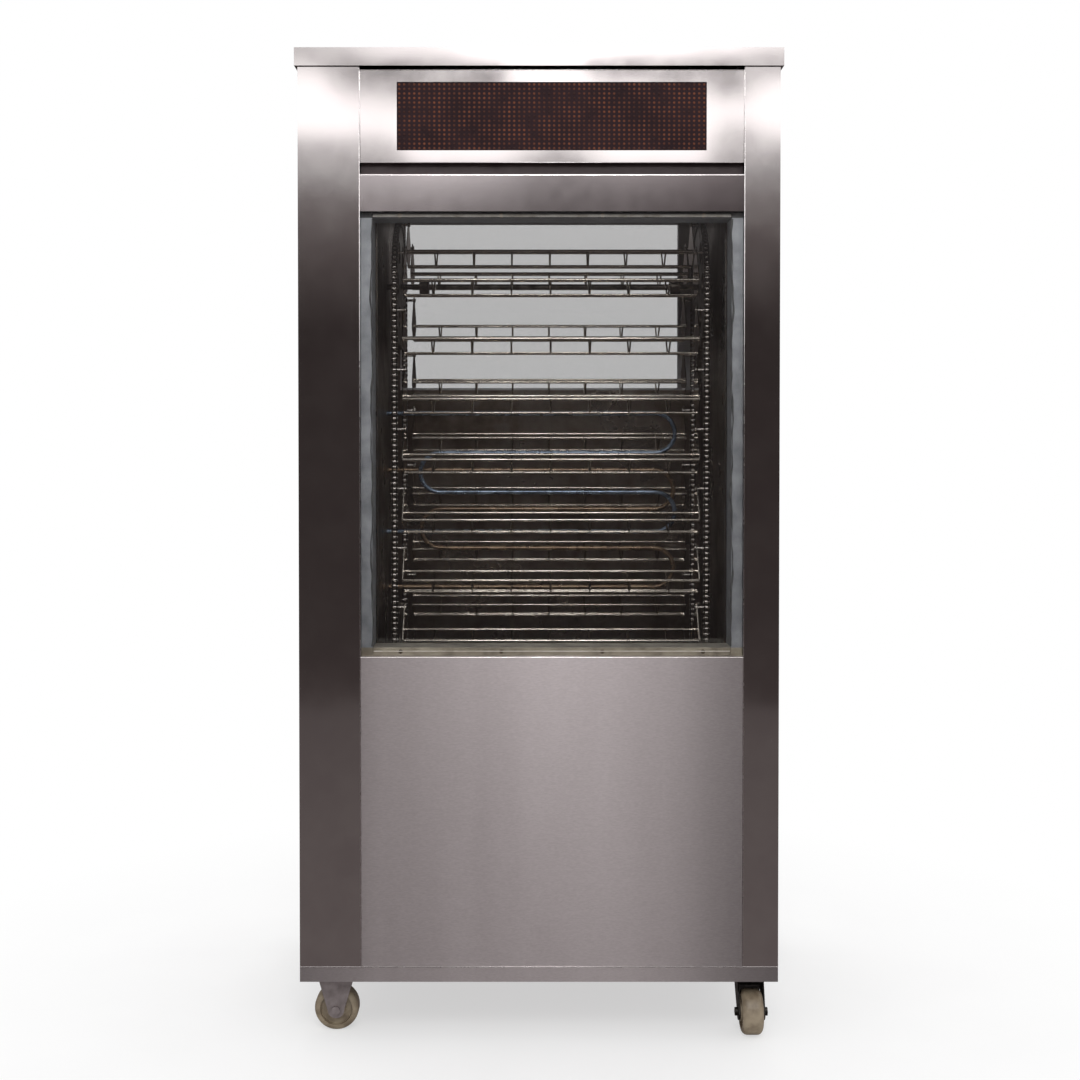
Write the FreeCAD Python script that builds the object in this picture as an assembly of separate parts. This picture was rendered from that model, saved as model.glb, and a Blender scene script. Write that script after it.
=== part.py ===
"""Potato baking oven: a glazed steel cabinet on casters with a chain carousel of hanging wire baskets.

Millimetres. +X is to the right seen from the front, +Y points from the front to the rear, +Z is up.
The origin is on the floor, under the middle of the cabinet.
"""
import FreeCAD, Part
import math
import os

Vector = FreeCAD.Vector

# Cabinet
body_width = 800.0
body_depth = 550.0
floor_clearance = 100.0
base_height = 25.0
overall_height = 1655.0
sheet = 1.5
seam = 0.8
left_pillar_width = 102.0
right_pillar_width = 59.0
jamb_depth = 20.0
rear_flange = 25.0
rear_recess = 50.0

# Top cap
cap_height = 30.0
cap_overhang = 5.0
cap_gap = 0.5

# Front, from the top down
fascia_gap = 5.2
fascia_height = 153.0
vent_slot_height = 20.0
header_height = 61.0
window_height = 741.0
lower_panel_setback = 1.5
fascia_setback = 3.0
header_setback = 0.5
panel_flange = 15.0
header_flange = 60.0
display_width = 514.0
display_height = 113.0
display_offset = -0.5
display_border = 4.0
display_depth = 30.0

# Glazing
outer_glass_setback = 8.0
glass_thickness = 5.0
glass_play = 0.3
glazing_depth = 59.0
glazing_side = 18.5
sill_height = 13.5
head_height = 9.0
sill_setback = 4.0

# Baking chamber
wall = 2.0
chamber_roof_rise = 64.0
chamber_height = 1124.8
chamber_rear_gap = 49.3
chamber_play = 0.3
upright_size = 30.0
upright_thickness = 3.0
upright_inset = 20.0

# Carousel
chain_pitch = 9.525
sprocket_teeth = 74
span_pitches = 73
basket_pitches = 11
top_shaft_drop = 162.3
chain_inset = 22.4
roller_radius = 3.175
roller_width = 5.7
plate_half_height = 4.1
plate_thickness = 1.2
gullet_radius = 3.4
gullet_half_angle = 75.0
tooth_height = 3.0
tooth_tip = 1.2
sprocket_thickness = 5.0
hub_radius = 22.0
hub_length = 10.0
lightening_hole_radius = 20.0
lightening_holes = 6
shaft_radius = 5.0
collar_radius = 15.0
collar_length = 17.0
collar_inset = 20.0
hanger_pin_radius = 2.5
hanger_head_radius = 4.0
hanger_head_length = 2.0
hanger_pin_overrun = 0.5
running_clearance = 0.05
side_clearance = 0.4

# Baskets
basket_inset = 17.0
end_plate = 1.6
eye_radius = 8.0
basket_half_depth = 49.0
trough_half_depth = 14.0
front_lip_drop = 53.0
rear_lip_rise = 8.0
floor_drop = 76.0
lip_rod_radius = 2.5
floor_rod_radius = 2.0
cross_wire_radius = 1.5
cross_wire_spacing = 69.0
cross_wires = 7

# Drive
bearing_size = 60.0
bearing_thickness = 14.0
bearing_wall_play = 2.0
gearbox_width = 60.0
gearbox_size = 90.0
shaft_end_gap = 4.0
motor_radius = 35.0
motor_length = 80.0

# Heaters
heater_radius = 4.0
heater_rows = 4
heater_left = -215.0
heater_right = 250.0
heater_end = 22.0
heater_stagger = 14.0
heater_hole_play = 0.3
front_heater_drop = 232.0
rear_heater_drop = 336.0
heater_row_pitch = 72.0

# Rear door
doorway_width = 580.0
doorway_height = 339.0
doorway_side = 7.5
doorway_head = 6.0
door_overlap = 35.0
door_thickness = 22.0
door_gap = 1.0
door_glass_overlap = 8.0
door_glass_lip = 6.0
hinge_stile_extra = 24.5
door_glass_play = 0.3
hinge_edge = 3.0
hinge_face = 7.0
hinge_pin_radius = 4.0
hinge_pin_length = 15.0
hinge_lug = 4.0
hinge_lug_width = 24.0
hinge_plate_height = 22.0
hinge_washer = 0.5
handle_length = 150.0
handle_radius = 6.0
handle_reach = 26.0
handle_inset = 20.0
handle_post_radius = 5.0

# Drip tray
tray_width = 503.0
tray_height = 30.0
tray_front_gap = 25.0
tray_play = 1.0
tray_face_margin = 14.0
tray_face_gap = 0.5
tray_lip = 22.0

# Controls at the rear
control_width = 283.0
control_height = 140.0
control_drop = 284.8
control_plate = 2.5
control_box_depth = 40.0
control_box_inset = 10.0
knob_radius = 21.0
knob_height = 20.0
knob_gap = 0.5
knob_offset = -70.0
spindle_radius = 3.0
spindle_length = 15.0
pointer_width = 3.0
pointer_depth = 1.5
switch_offset = 25.0
switch_width = 21.0
switch_height = 27.0
switch_play = 0.4
switch_depth = 12.0
switch_rise = 3.0
switch_pin_radius = 1.5
lamp_radius = 6.0
lamp_height = 5.0
lamp_offset = 70.0
lamp_spacing = 34.0

# Cable gland
gland_inset = 70.0
gland_z = 200.0
gland_radius = 14.0
gland_length = 20.0
gland_bore_radius = 5.5
gland_thread_radius = 10.0
gland_thread_length = 12.0
gland_hole_play = 0.3
gland_nut_length = 6.0

# Screws
screw_head_radius = 3.5
screw_head_height = 2.5
screw_shank_radius = 1.5
screw_shank_length = 6.0
screw_hole_play = 0.05
glazing_screws = 4
glazing_screw_spacing = 169.0
control_screw_inset = 5.0

# Casters
wheel_radius = 37.5
wheel_width = 36.0
wheel_hub_width = 38.0
wheel_hub_radius = 16.0
wheel_web_width = 24.0
wheel_tread_radius = 10.0
fork_clearance = 1.0
fork_plate = 2.5
axle_radius = 4.0
axle_nut_radius = 7.0
axle_nut_length = 5.0
rigid_inset_x = 55.0
swivel_inset_x = 40.0
caster_inset_y = 62.0
caster_plate_half = 34.0
fork_top_half = 28.0
fork_shoulder_height = 85.0
fork_eye_radius = 14.0
swivel_trail = 28.0
race_radius = 26.0
race_height = 9.0
crown_height = 5.5
crown_gap = 0.5
crown_half = 24.0
kingpin_radius = 6.0
kingpin_head_radius = 9.0
kingpin_head_height = 3.0

# Places worked out from the sizes above
half_width = body_width / 2
gland_x = gland_inset - half_width
front = -body_depth / 2
rear = body_depth / 2
base_top = floor_clearance + base_height
panel_top = overall_height - sheet
bay_left = -half_width + left_pillar_width
bay_right = half_width - right_pillar_width
bay_middle = (bay_left + bay_right) / 2
lower_panel_bottom = base_top + seam
fascia_top = overall_height - cap_height - fascia_gap
fascia_bottom = fascia_top - fascia_height
header_top = fascia_bottom - vent_slot_height
window_top = header_top - header_height
window_bottom = window_top - window_height
rear_face = rear - rear_recess
glazing_front = front + outer_glass_setback + glass_thickness
glazing_rear = glazing_front + glazing_depth
chamber_front = glazing_rear + glass_thickness + chamber_play
chamber_back = rear_face - chamber_rear_gap
chamber_roof = window_top + chamber_roof_rise
chamber_floor_top = chamber_roof - chamber_height
chamber_half_width = doorway_width / 2 + doorway_side
chamber_left = bay_middle - chamber_half_width
chamber_right = bay_middle + chamber_half_width
doorway_bottom = chamber_roof - doorway_head - doorway_height
control_bottom = doorway_bottom - control_drop
carousel_y = (chamber_front + chamber_back) / 2
pitch_radius = sprocket_teeth * chain_pitch / (2 * math.pi)
span = span_pitches * chain_pitch
top_shaft_height = chamber_roof - top_shaft_drop
bottom_shaft_height = top_shaft_height - span
front_heater_top = top_shaft_height - front_heater_drop
rear_heater_top = top_shaft_height - rear_heater_drop
chain_offset = chamber_half_width - chain_inset
basket_half_length = chain_offset - basket_inset
wrap_pitches = sprocket_teeth // 2
pitch_angle = 360.0 / sprocket_teeth
first_pin = basket_pitches / 2
wrap_baskets = int((wrap_pitches - first_pin) // basket_pitches) + 1
rear_first_pin = first_pin + wrap_baskets * basket_pitches - wrap_pitches
chain_half_width = roller_width / 2 + plate_thickness
hanger_head_inner = basket_half_length - end_plate - side_clearance - hanger_head_length
mount_plane = base_top - sheet
axle_height = wheel_radius
tray_bottom = chamber_floor_top + chamber_play


def box(x0, x1, y0, y1, z0, z1):
    """A block between two corners."""
    return Part.makeBox(x1 - x0, y1 - y0, z1 - z0, Vector(x0, y0, z0))


def rod(start, end, radius):
    """A round bar from one point to another."""
    along = end - start
    return Part.makeCylinder(radius, along.Length, start, along)


def joined(pieces):
    """One solid from pieces that are folded or welded together."""
    return pieces[0].multiFuse(pieces[1:]).removeSplitter()


def mirrored_x(shape, plane):
    """The same piece on the other side of the plane x = plane."""
    return shape.mirror(Vector(plane, 0, 0), Vector(1, 0, 0))


def plate_x(points, x0, x1):
    """A flat plate across X, its outline given as (y, z) points."""
    outline = Part.makePolygon([Vector(x0, y, z) for y, z in points + points[:1]])
    return Part.Face(outline).extrude(Vector(x1 - x0, 0, 0))


def arc(a, b, c):
    """An edge through three points."""
    return Part.Arc(a, b, c).toShape()


def save(node, *solids):
    """Writes the solids of one node."""
    shape = solids[0] if len(solids) == 1 else Part.makeCompound(list(solids))
    shape.exportStep("parts/" + node + ".step")


def carousel_point(height, angle, radius, x=0.0, side=1):
    """A point round a shaft: 0 degrees faces the front, side is 1 for over the top and -1 for under."""
    a = math.radians(angle)
    return Vector(x, carousel_y - radius * math.cos(a), height + side * radius * math.sin(a))


def pan(x0, x1, face, z0, z1, flange):
    """A sheet panel with its four edges folded back."""
    hollow = box(x0 + sheet, x1 - sheet, face + sheet, face + flange, z0 + sheet, z1 - sheet)
    return box(x0, x1, face, face + flange, z0, z1).cut(hollow)


def base_frame():
    tray = box(-half_width, half_width, front, rear, floor_clearance, base_top)
    tray = tray.cut(box(-half_width + sheet, half_width - sheet, front + sheet, rear - sheet,
                        floor_clearance, mount_plane))
    uprights = []
    top = chamber_floor_top - wall
    for x, turn_x in ((chamber_left + upright_inset, 1), (chamber_right - upright_inset, -1)):
        for y, turn_y in ((chamber_front + upright_inset, 1), (chamber_back - upright_inset, -1)):
            xs = sorted((x, x + turn_x * upright_size))
            ys = sorted((y, y + turn_y * upright_size))
            inner_x = sorted((x + turn_x * upright_thickness, x + turn_x * upright_size))
            inner_y = sorted((y + turn_y * upright_thickness, y + turn_y * upright_size))
            angle = box(xs[0], xs[1], ys[0], ys[1], base_top, top)
            uprights.append(angle.cut(box(inner_x[0], inner_x[1], inner_y[0], inner_y[1], base_top, top)))
    save("base_frame", tray, *uprights)


def side_panels():
    left = joined([
        box(-half_width, bay_left, front, front + sheet, base_top, panel_top),
        box(-half_width, -half_width + sheet, front, rear, base_top, panel_top),
        box(bay_left - sheet, bay_left, front, front + jamb_depth, base_top, panel_top),
        box(-half_width, -half_width + rear_flange, rear - sheet, rear, base_top, panel_top),
    ])
    right = joined([
        box(bay_right, half_width, front, front + sheet, base_top, panel_top),
        box(half_width - sheet, half_width, front, rear, base_top, panel_top),
        box(bay_right, bay_right + sheet, front, front + jamb_depth, base_top, panel_top),
        box(half_width - rear_flange, half_width, rear - sheet, rear, base_top, panel_top),
    ])
    save("left_side_panel", left)
    save("right_side_panel", right)


def top_cap():
    reach_x = half_width + cap_overhang
    reach_y = rear + cap_overhang
    under = overall_height - cap_height
    shell = box(-reach_x, reach_x, -reach_y, reach_y, under, overall_height)
    hollow = box(-reach_x + sheet, reach_x - sheet, -reach_y + sheet, reach_y - sheet,
                 under + sheet, panel_top)
    mouth_x = half_width + cap_gap
    mouth_y = rear + cap_gap
    mouth = box(-mouth_x, mouth_x, -mouth_y, mouth_y, under, under + sheet)
    save("top_cap", shell.cut(hollow).cut(mouth))


def front_panels():
    x0 = bay_left + seam
    x1 = bay_right - seam
    save("lower_front_panel",
         pan(x0, x1, front + lower_panel_setback, lower_panel_bottom, window_bottom, panel_flange))
    save("header_rail", joined([
        box(x0, x1, front + header_setback, front + header_setback + sheet, window_top, header_top),
        box(x0, x1, front + header_setback, front + header_flange, window_top, window_top + sheet),
        box(x0, x1, front + header_setback, front + header_flange, header_top - sheet, header_top),
    ]))
    face = front + fascia_setback
    middle_x = bay_middle + display_offset
    middle_z = (fascia_bottom + fascia_top) / 2
    opening = box(middle_x - display_width / 2, middle_x + display_width / 2, face, face + sheet,
                  middle_z - display_height / 2, middle_z + display_height / 2)
    save("display_fascia", pan(x0, x1, face, fascia_bottom, fascia_top, panel_flange).cut(opening))
    half_x = display_width / 2 + display_border
    half_z = display_height / 2 + display_border
    module_front = face + sheet
    module_rear = module_front + display_depth
    save("display_module", box(middle_x - half_x, middle_x + half_x, module_front, module_rear,
                               middle_z - half_z, middle_z + half_z))


def glazing():
    x0 = bay_left + seam
    x1 = bay_right - seam
    z0 = window_bottom + glass_play
    z1 = window_top - glass_play
    outer = box(x0, x1, glazing_front - glass_thickness, glazing_front, z0, z1)
    inner = box(x0, x1, glazing_rear, glazing_rear + glass_thickness, z0, z1)
    save("front_glass", outer, inner)
    inner_left = x0 + glazing_side
    inner_right = x1 - glazing_side
    closure_front = glazing_front + sill_setback
    sill = box(inner_left, inner_right, closure_front, glazing_rear, z0, z0 + sill_height)
    head = box(inner_left, inner_right, closure_front, glazing_rear, z1 - head_height, z1)
    for foot in glazing_screw_places():
        hole = Part.makeCylinder(screw_shank_radius + screw_hole_play, screw_shank_length + screw_hole_play,
                                 foot, Vector(0, 1, 0))
        sill = sill.cut(hole)
        head = head.cut(hole)
    save("glazing_frame",
         box(x0, inner_left, glazing_front, glazing_rear, z0, z1),
         box(inner_right, x1, glazing_front, glazing_rear, z0, z1),
         sill, head)


def glazing_screw_places():
    """Where the screw heads sit on the front of the sill and of the head."""
    y = glazing_front + sill_setback
    low = window_bottom + glass_play + sill_height / 2
    high = window_top - glass_play - head_height / 2
    offsets = [(k - (glazing_screws - 1) / 2) * glazing_screw_spacing for k in range(glazing_screws)]
    return [Vector(bay_middle + x, y, z) for z in (low, high) for x in offsets]


def heater_heights(top):
    return [top - row * heater_row_pitch for row in range(heater_rows)]


def heater_places():
    """The y and top height of each heater."""
    return ((carousel_y - heater_stagger, front_heater_top), (carousel_y + heater_stagger, rear_heater_top))


def chamber():
    left = box(chamber_left - wall, chamber_left, chamber_front, chamber_back,
               chamber_floor_top, chamber_roof)
    right = mirrored_x(left, bay_middle)
    roof = box(chamber_left - wall, chamber_right + wall, chamber_front, chamber_back,
               chamber_roof, chamber_roof + wall)
    for height in (top_shaft_height, bottom_shaft_height):
        passage = rod(Vector(chamber_left - 2 * wall, carousel_y, height),
                      Vector(chamber_right + 2 * wall, carousel_y, height), shaft_radius + bearing_wall_play)
        left = left.cut(passage)
        right = right.cut(passage)
    for y, top in heater_places():
        rows = heater_heights(top)
        for z in (rows[0], rows[-1]):
            left = left.cut(rod(Vector(chamber_left - 2 * wall, y, z), Vector(chamber_left + wall, y, z),
                                heater_radius + heater_hole_play))
    save("chamber_walls", left, right, roof)
    save("chamber_floor", box(chamber_left - wall, chamber_right + wall, chamber_front, chamber_back + wall,
                              chamber_floor_top - wall, chamber_floor_top))
    back = box(chamber_left - wall, chamber_right + wall, chamber_back, chamber_back + wall,
               chamber_floor_top, chamber_roof + wall)
    save("chamber_rear_wall", back.cut(doorway(chamber_back, chamber_back + wall)).cut(
        tray_slot(chamber_back, chamber_back + wall)))


def doorway(y0, y1, margin=0.0):
    half = doorway_width / 2 + margin
    return box(bay_middle - half, bay_middle + half, y0, y1,
               doorway_bottom - margin, doorway_bottom + doorway_height + margin)


def tray_slot(y0, y1):
    half = tray_width / 2 + tray_play
    return box(bay_middle - half, bay_middle + half, y0, y1, chamber_floor_top,
               tray_bottom + tray_height + tray_play)


def control_box_block(depth, inset):
    half = control_width / 2 - inset
    return box(bay_middle - half, bay_middle + half, rear_face - depth, rear_face,
               control_bottom + inset, control_bottom + control_height - inset)


def rear_panel():
    """Four sheets round the doorway: the lower one carries the controls, the tray slot and the gland."""
    x1 = half_width - sheet - seam
    y0 = rear_face - sheet
    left = bay_middle - doorway_width / 2
    right = bay_middle + doorway_width / 2
    top = doorway_bottom + doorway_height
    lower = box(-x1, x1, y0, rear_face, base_top + seam, doorway_bottom)
    lower = lower.cut(tray_slot(y0, rear_face))
    lower = lower.cut(control_box_block(sheet, control_box_inset - chamber_play))
    gland_hole = rod(Vector(gland_x, y0, gland_z), Vector(gland_x, rear_face, gland_z),
                     gland_thread_radius + gland_hole_play)
    upper = box(-x1, x1, y0, rear_face, top, panel_top - seam)
    left_stile = box(-x1, left, y0, rear_face, doorway_bottom, top)
    right_stile = box(right, x1, y0, rear_face, doorway_bottom, top)
    save("rear_panel", lower.cut(gland_hole), upper, left_stile, right_stile, *doorway_liner())


def doorway_liner():
    """Four strips that close the gap between the chamber's rear wall and the rear panel round the doorway."""
    half = doorway_width / 2
    y0 = chamber_back + wall + chamber_play
    y1 = rear_face - sheet
    top = doorway_bottom + doorway_height
    strips = []
    for z in (doorway_bottom - sheet, top):
        strips.append(box(bay_middle - half - sheet, bay_middle + half + sheet, y0, y1, z, z + sheet))
    for x in (bay_middle - half - sheet, bay_middle + half):
        strips.append(box(x, x + sheet, y0, y1, doorway_bottom, top))
    return strips


def rear_door():
    half = doorway_width / 2 + door_overlap
    inner = rear_face + door_gap
    outer = inner + door_thickness
    x0 = bay_middle - half
    x1 = bay_middle + half
    z0 = doorway_bottom - door_overlap
    z1 = doorway_bottom + doorway_height + door_overlap
    frame = box(x0, x1, inner, outer, z0, z1)
    window = doorway(inner, outer, -door_glass_lip)
    hinge_stile = box(x1 - door_overlap - door_glass_lip - hinge_stile_extra, x1, inner, outer, z0, z1)
    frame = frame.cut(window.cut(hinge_stile))
    pane_y = (inner + outer) / 2
    pane_front = pane_y - glass_thickness / 2
    pane_back = pane_y + glass_thickness / 2
    pane = doorway(pane_front, pane_back, door_glass_overlap)
    groove = doorway(pane_front - door_glass_play, pane_back + door_glass_play,
                     door_glass_overlap + door_glass_play)
    frame = frame.cut(groove)
    axis_x = x1 - hinge_edge
    axis_y = outer - hinge_face
    hinges = []
    for edge, up in ((z0, -1), (z1, 1)):
        lug_near = edge + up * hinge_washer
        lug_far = lug_near + up * hinge_lug
        plate_far = lug_near + up * hinge_plate_height
        pin = rod(Vector(axis_x, axis_y, edge - up * hinge_pin_length), Vector(axis_x, axis_y, lug_far),
                  hinge_pin_radius)
        zs = sorted((lug_near, lug_far))
        zp = sorted((lug_near, plate_far))
        hinges.append(joined([
            box(axis_x - hinge_lug_width / 2, axis_x + hinge_lug_width / 2, rear_face, outer, zs[0], zs[1]),
            box(axis_x - hinge_lug_width / 2, axis_x + hinge_lug_width / 2, rear_face, rear_face + hinge_lug,
                zp[0], zp[1]),
            pin,
        ]))
        frame = frame.cut(rod(Vector(axis_x, axis_y, edge - up * (hinge_pin_length + hinge_washer)),
                              Vector(axis_x, axis_y, edge), hinge_pin_radius + running_clearance))
    save("rear_door", frame)
    save("rear_door_glass", pane)
    save("door_hinges", *hinges)
    grip_x = x0 + handle_inset
    grip_y = outer + handle_reach - handle_radius
    middle = (z0 + z1) / 2
    grip = rod(Vector(grip_x, grip_y, middle - handle_length / 2),
               Vector(grip_x, grip_y, middle + handle_length / 2), handle_radius)
    posts = []
    for end in (-1, 1):
        z = middle + end * (handle_length / 2 - 2 * handle_radius)
        posts.append(rod(Vector(grip_x, outer, z), Vector(grip_x, grip_y, z), handle_post_radius))
    save("rear_door_handle", joined([grip] + posts))


def drip_tray():
    half = tray_width / 2
    y0 = chamber_front + tray_front_gap
    y1 = rear_face + tray_face_gap
    top = tray_bottom + tray_height
    shell = box(bay_middle - half, bay_middle + half, y0, y1, tray_bottom, top)
    shell = shell.cut(box(bay_middle - half + sheet, bay_middle + half - sheet, y0 + sheet, y1 - sheet,
                          tray_bottom + sheet, top))
    face_half = half + tray_face_margin
    face = box(bay_middle - face_half, bay_middle + face_half, y1, y1 + sheet,
               tray_bottom, top + tray_face_margin)
    lip = box(bay_middle - face_half, bay_middle + face_half, y1, y1 + tray_lip,
              top + tray_face_margin - sheet, top + tray_face_margin)
    save("drip_tray", joined([shell, face, lip]))


def control_screw_places():
    """The four corners of the control plate."""
    y = rear_face + control_plate
    half = control_width / 2 - control_screw_inset
    low = control_bottom + control_screw_inset
    high = control_bottom + control_height - control_screw_inset
    return [Vector(bay_middle + x, y, z) for z in (low, high) for x in (-half, half)]


def controls():
    half = control_width / 2
    middle = control_bottom + control_height / 2
    outer = rear_face + control_plate
    plate = box(bay_middle - half, bay_middle + half, rear_face, outer, control_bottom,
                control_bottom + control_height)
    knob_x = bay_middle + knob_offset
    spindle = rod(Vector(knob_x, rear_face, middle), Vector(knob_x, outer + spindle_length, middle),
                  spindle_radius)
    switch_x = bay_middle + switch_offset
    hole_half_x = switch_width / 2 + switch_play
    hole_half_z = switch_height / 2 + switch_play
    hole = box(switch_x - hole_half_x, switch_x + hole_half_x, rear_face, outer,
               middle - hole_half_z, middle + hole_half_z)
    ears = []
    pivot_y = outer - switch_depth / 2
    for end in (-1, 1):
        near = switch_x + end * hole_half_x
        far = near + end * sheet
        xs = sorted((near, far))
        ears.append(box(xs[0], xs[1], pivot_y - 2 * switch_pin_radius, rear_face,
                        middle - 2 * switch_pin_radius, middle + 2 * switch_pin_radius))
    pivot = rod(Vector(switch_x - hole_half_x - sheet, pivot_y, middle),
                Vector(switch_x + hole_half_x + sheet, pivot_y, middle), switch_pin_radius)
    plate = joined([plate.cut(hole), spindle, pivot] + ears)
    for foot in control_screw_places():
        plate = plate.cut(Part.makeCylinder(screw_shank_radius + screw_hole_play, control_plate,
                                            foot, Vector(0, -1, 0)))
    back_box = control_box_block(control_box_depth, control_box_inset)
    back_box = back_box.cut(box(bay_middle - half + control_box_inset + sheet,
                                bay_middle + half - control_box_inset - sheet,
                                rear_face - control_box_depth + sheet, rear_face,
                                control_bottom + control_box_inset + sheet,
                                control_bottom + control_height - control_box_inset - sheet))
    lamps = []
    for end in (-1, 1):
        centre = Vector(bay_middle + lamp_offset + end * lamp_spacing / 2, outer, middle)
        lamp = Part.makeCylinder(lamp_radius, lamp_height, centre, Vector(0, 1, 0))
        lamps.append(lamp.makeFillet(lamp_height / 2, [lamp.Edges[0]]))
    save("control_panel", plate, back_box, *lamps)
    knob = Part.makeCone(knob_radius, knob_radius - pointer_width, knob_height,
                         Vector(knob_x, outer + knob_gap, middle), Vector(0, 1, 0))
    bore = rod(Vector(knob_x, outer, middle), Vector(knob_x, outer + spindle_length + knob_gap, middle),
               spindle_radius + running_clearance)
    pointer = box(knob_x - pointer_width / 2, knob_x + pointer_width / 2,
                  outer + knob_gap + knob_height - pointer_depth, outer + knob_gap + knob_height,
                  middle, middle + knob_radius)
    save("temperature_knob", knob.cut(bore).cut(pointer))
    rocker_half = switch_height / 2
    rocker = plate_x([
        (outer - switch_depth, middle - rocker_half / 2), (outer - switch_depth, middle + rocker_half / 2),
        (outer + switch_rise, middle + rocker_half - switch_rise / 2), (outer + switch_rise / 3, middle),
        (outer + switch_rise, middle - rocker_half + switch_rise / 2),
    ], switch_x - switch_width / 2, switch_x + switch_width / 2)
    pivot_hole = rod(Vector(switch_x - switch_width, pivot_y, middle),
                     Vector(switch_x + switch_width, pivot_y, middle), switch_pin_radius + running_clearance)
    save("heat_switch", rocker.cut(pivot_hole))


def cable_gland():
    inside = rear_face - sheet
    thread_end = Vector(gland_x, inside - gland_thread_length, gland_z)
    panel_point = Vector(gland_x, rear_face, gland_z)
    outer_end = Vector(gland_x, rear_face + gland_length, gland_z)
    body = rod(panel_point, outer_end, gland_radius)
    thread = rod(thread_end, panel_point, gland_thread_radius)
    bore = rod(thread_end, outer_end, gland_bore_radius)
    nut = rod(Vector(gland_x, inside - gland_nut_length, gland_z), Vector(gland_x, inside, gland_z),
              gland_radius)
    save("cable_gland", joined([body, thread, nut]).cut(bore))


def sprocket(height, side):
    """A toothed plate wheel on the right-hand chain line, with its hub towards the chamber wall."""
    x0 = bay_middle + chain_offset - sprocket_thickness / 2
    x1 = bay_middle + chain_offset + sprocket_thickness / 2
    flank = math.radians(gullet_half_angle)
    inward = gullet_radius * math.cos(flank)
    sideways = math.degrees(gullet_radius * math.sin(flank) / (pitch_radius - inward))
    tip_radius = pitch_radius + tooth_height
    tip_half = math.degrees(tooth_tip / 2 / tip_radius)
    edges = []
    for tooth in range(sprocket_teeth):
        roller = (tooth + 0.5) * pitch_angle
        start = carousel_point(height, roller - sideways, pitch_radius - inward, x0, side)
        bottom = carousel_point(height, roller, pitch_radius - gullet_radius, x0, side)
        end = carousel_point(height, roller + sideways, pitch_radius - inward, x0, side)
        middle = roller + pitch_angle / 2
        tip_start = carousel_point(height, middle - tip_half, tip_radius, x0, side)
        tip_end = carousel_point(height, middle + tip_half, tip_radius, x0, side)
        next_start = carousel_point(height, roller + pitch_angle - sideways, pitch_radius - inward, x0, side)
        edges.append(arc(start, bottom, end))
        edges.append(Part.makeLine(end, tip_start))
        edges.append(Part.makeLine(tip_start, tip_end))
        edges.append(Part.makeLine(tip_end, next_start))
    wheel = Part.Face(Part.Wire(edges)).extrude(Vector(x1 - x0, 0, 0))
    centre = Vector(x0, carousel_y, height)
    hub = rod(centre, Vector(x1 + hub_length, carousel_y, height), hub_radius)
    wheel = joined([wheel, hub])
    hole_circle = (hub_radius + pitch_radius) / 2
    for hole in range(lightening_holes):
        place = carousel_point(height, hole * 360.0 / lightening_holes, hole_circle, x0, side)
        wheel = wheel.cut(rod(place, place + Vector(sprocket_thickness, 0, 0), lightening_hole_radius))
    bore = rod(centre, Vector(x1 + hub_length, carousel_y, height), shaft_radius + running_clearance)
    return wheel.cut(bore)


def shaft(height, left_end):
    right_end = chamber_right + wall + bearing_thickness
    bar = rod(Vector(left_end, carousel_y, height), Vector(right_end, carousel_y, height), shaft_radius)
    collars = []
    for start in (bay_middle - basket_half_length + collar_inset,
                  bay_middle + basket_half_length - collar_inset - collar_length):
        end = start + collar_length
        collars.append(rod(Vector(start, carousel_y, height), Vector(end, carousel_y, height), collar_radius))
    return joined([bar] + collars)


def hanger_pin(y, z):
    """A chain pin on the right-hand chain, long enough to carry a basket, with a head at its inner end."""
    outer = bay_middle + chain_offset + chain_half_width + hanger_pin_overrun
    inner = bay_middle + hanger_head_inner
    return joined([
        rod(Vector(inner, y, z), Vector(outer, y, z), hanger_pin_radius),
        rod(Vector(inner, y, z), Vector(inner + hanger_head_length, y, z), hanger_head_radius),
    ])


def hanger_hole(y, z):
    reach = Vector(chain_half_width, 0, 0)
    centre = Vector(bay_middle + chain_offset, y, z)
    return rod(centre - reach, centre + reach, hanger_pin_radius + running_clearance)


def chain(strips, rollers, pins):
    """The right-hand and left-hand chain of one run, with their hanger pins."""
    links = joined(strips + rollers)
    for y, z in pins:
        links = links.cut(hanger_hole(y, z))
    right = [links] + [hanger_pin(y, z) for y, z in pins]
    return right + [mirrored_x(piece, bay_middle) for piece in right]


def strip_places():
    """Inner face of the two rows of chain plates."""
    middle = bay_middle + chain_offset
    return (middle - chain_half_width, middle + roller_width / 2)


def roller(y, z):
    half = Vector(roller_width / 2, 0, 0)
    centre = Vector(bay_middle + chain_offset, y, z)
    return rod(centre - half, centre + half, roller_radius)


def run_pins(y, first):
    """Basket pins of a straight run, from the top down. The first is so many pitches below its top end."""
    count = int((span_pitches - first) // basket_pitches) + 1
    return [(y, top_shaft_height - (first + k * basket_pitches) * chain_pitch) for k in range(count)]


def front_pins():
    return run_pins(carousel_y - pitch_radius, first_pin)


def rear_pins():
    return run_pins(carousel_y + pitch_radius, rear_first_pin)


def wrap_pins(height, side):
    """Basket pins round a shaft, from the front to the rear."""
    angles = [(first_pin + k * basket_pitches) * pitch_angle for k in range(wrap_baskets)]
    if side < 0:
        angles = [180.0 - a for a in reversed(angles)]
    points = [carousel_point(height, a, pitch_radius, 0, side) for a in angles]
    return [(p.y, p.z) for p in points]


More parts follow.
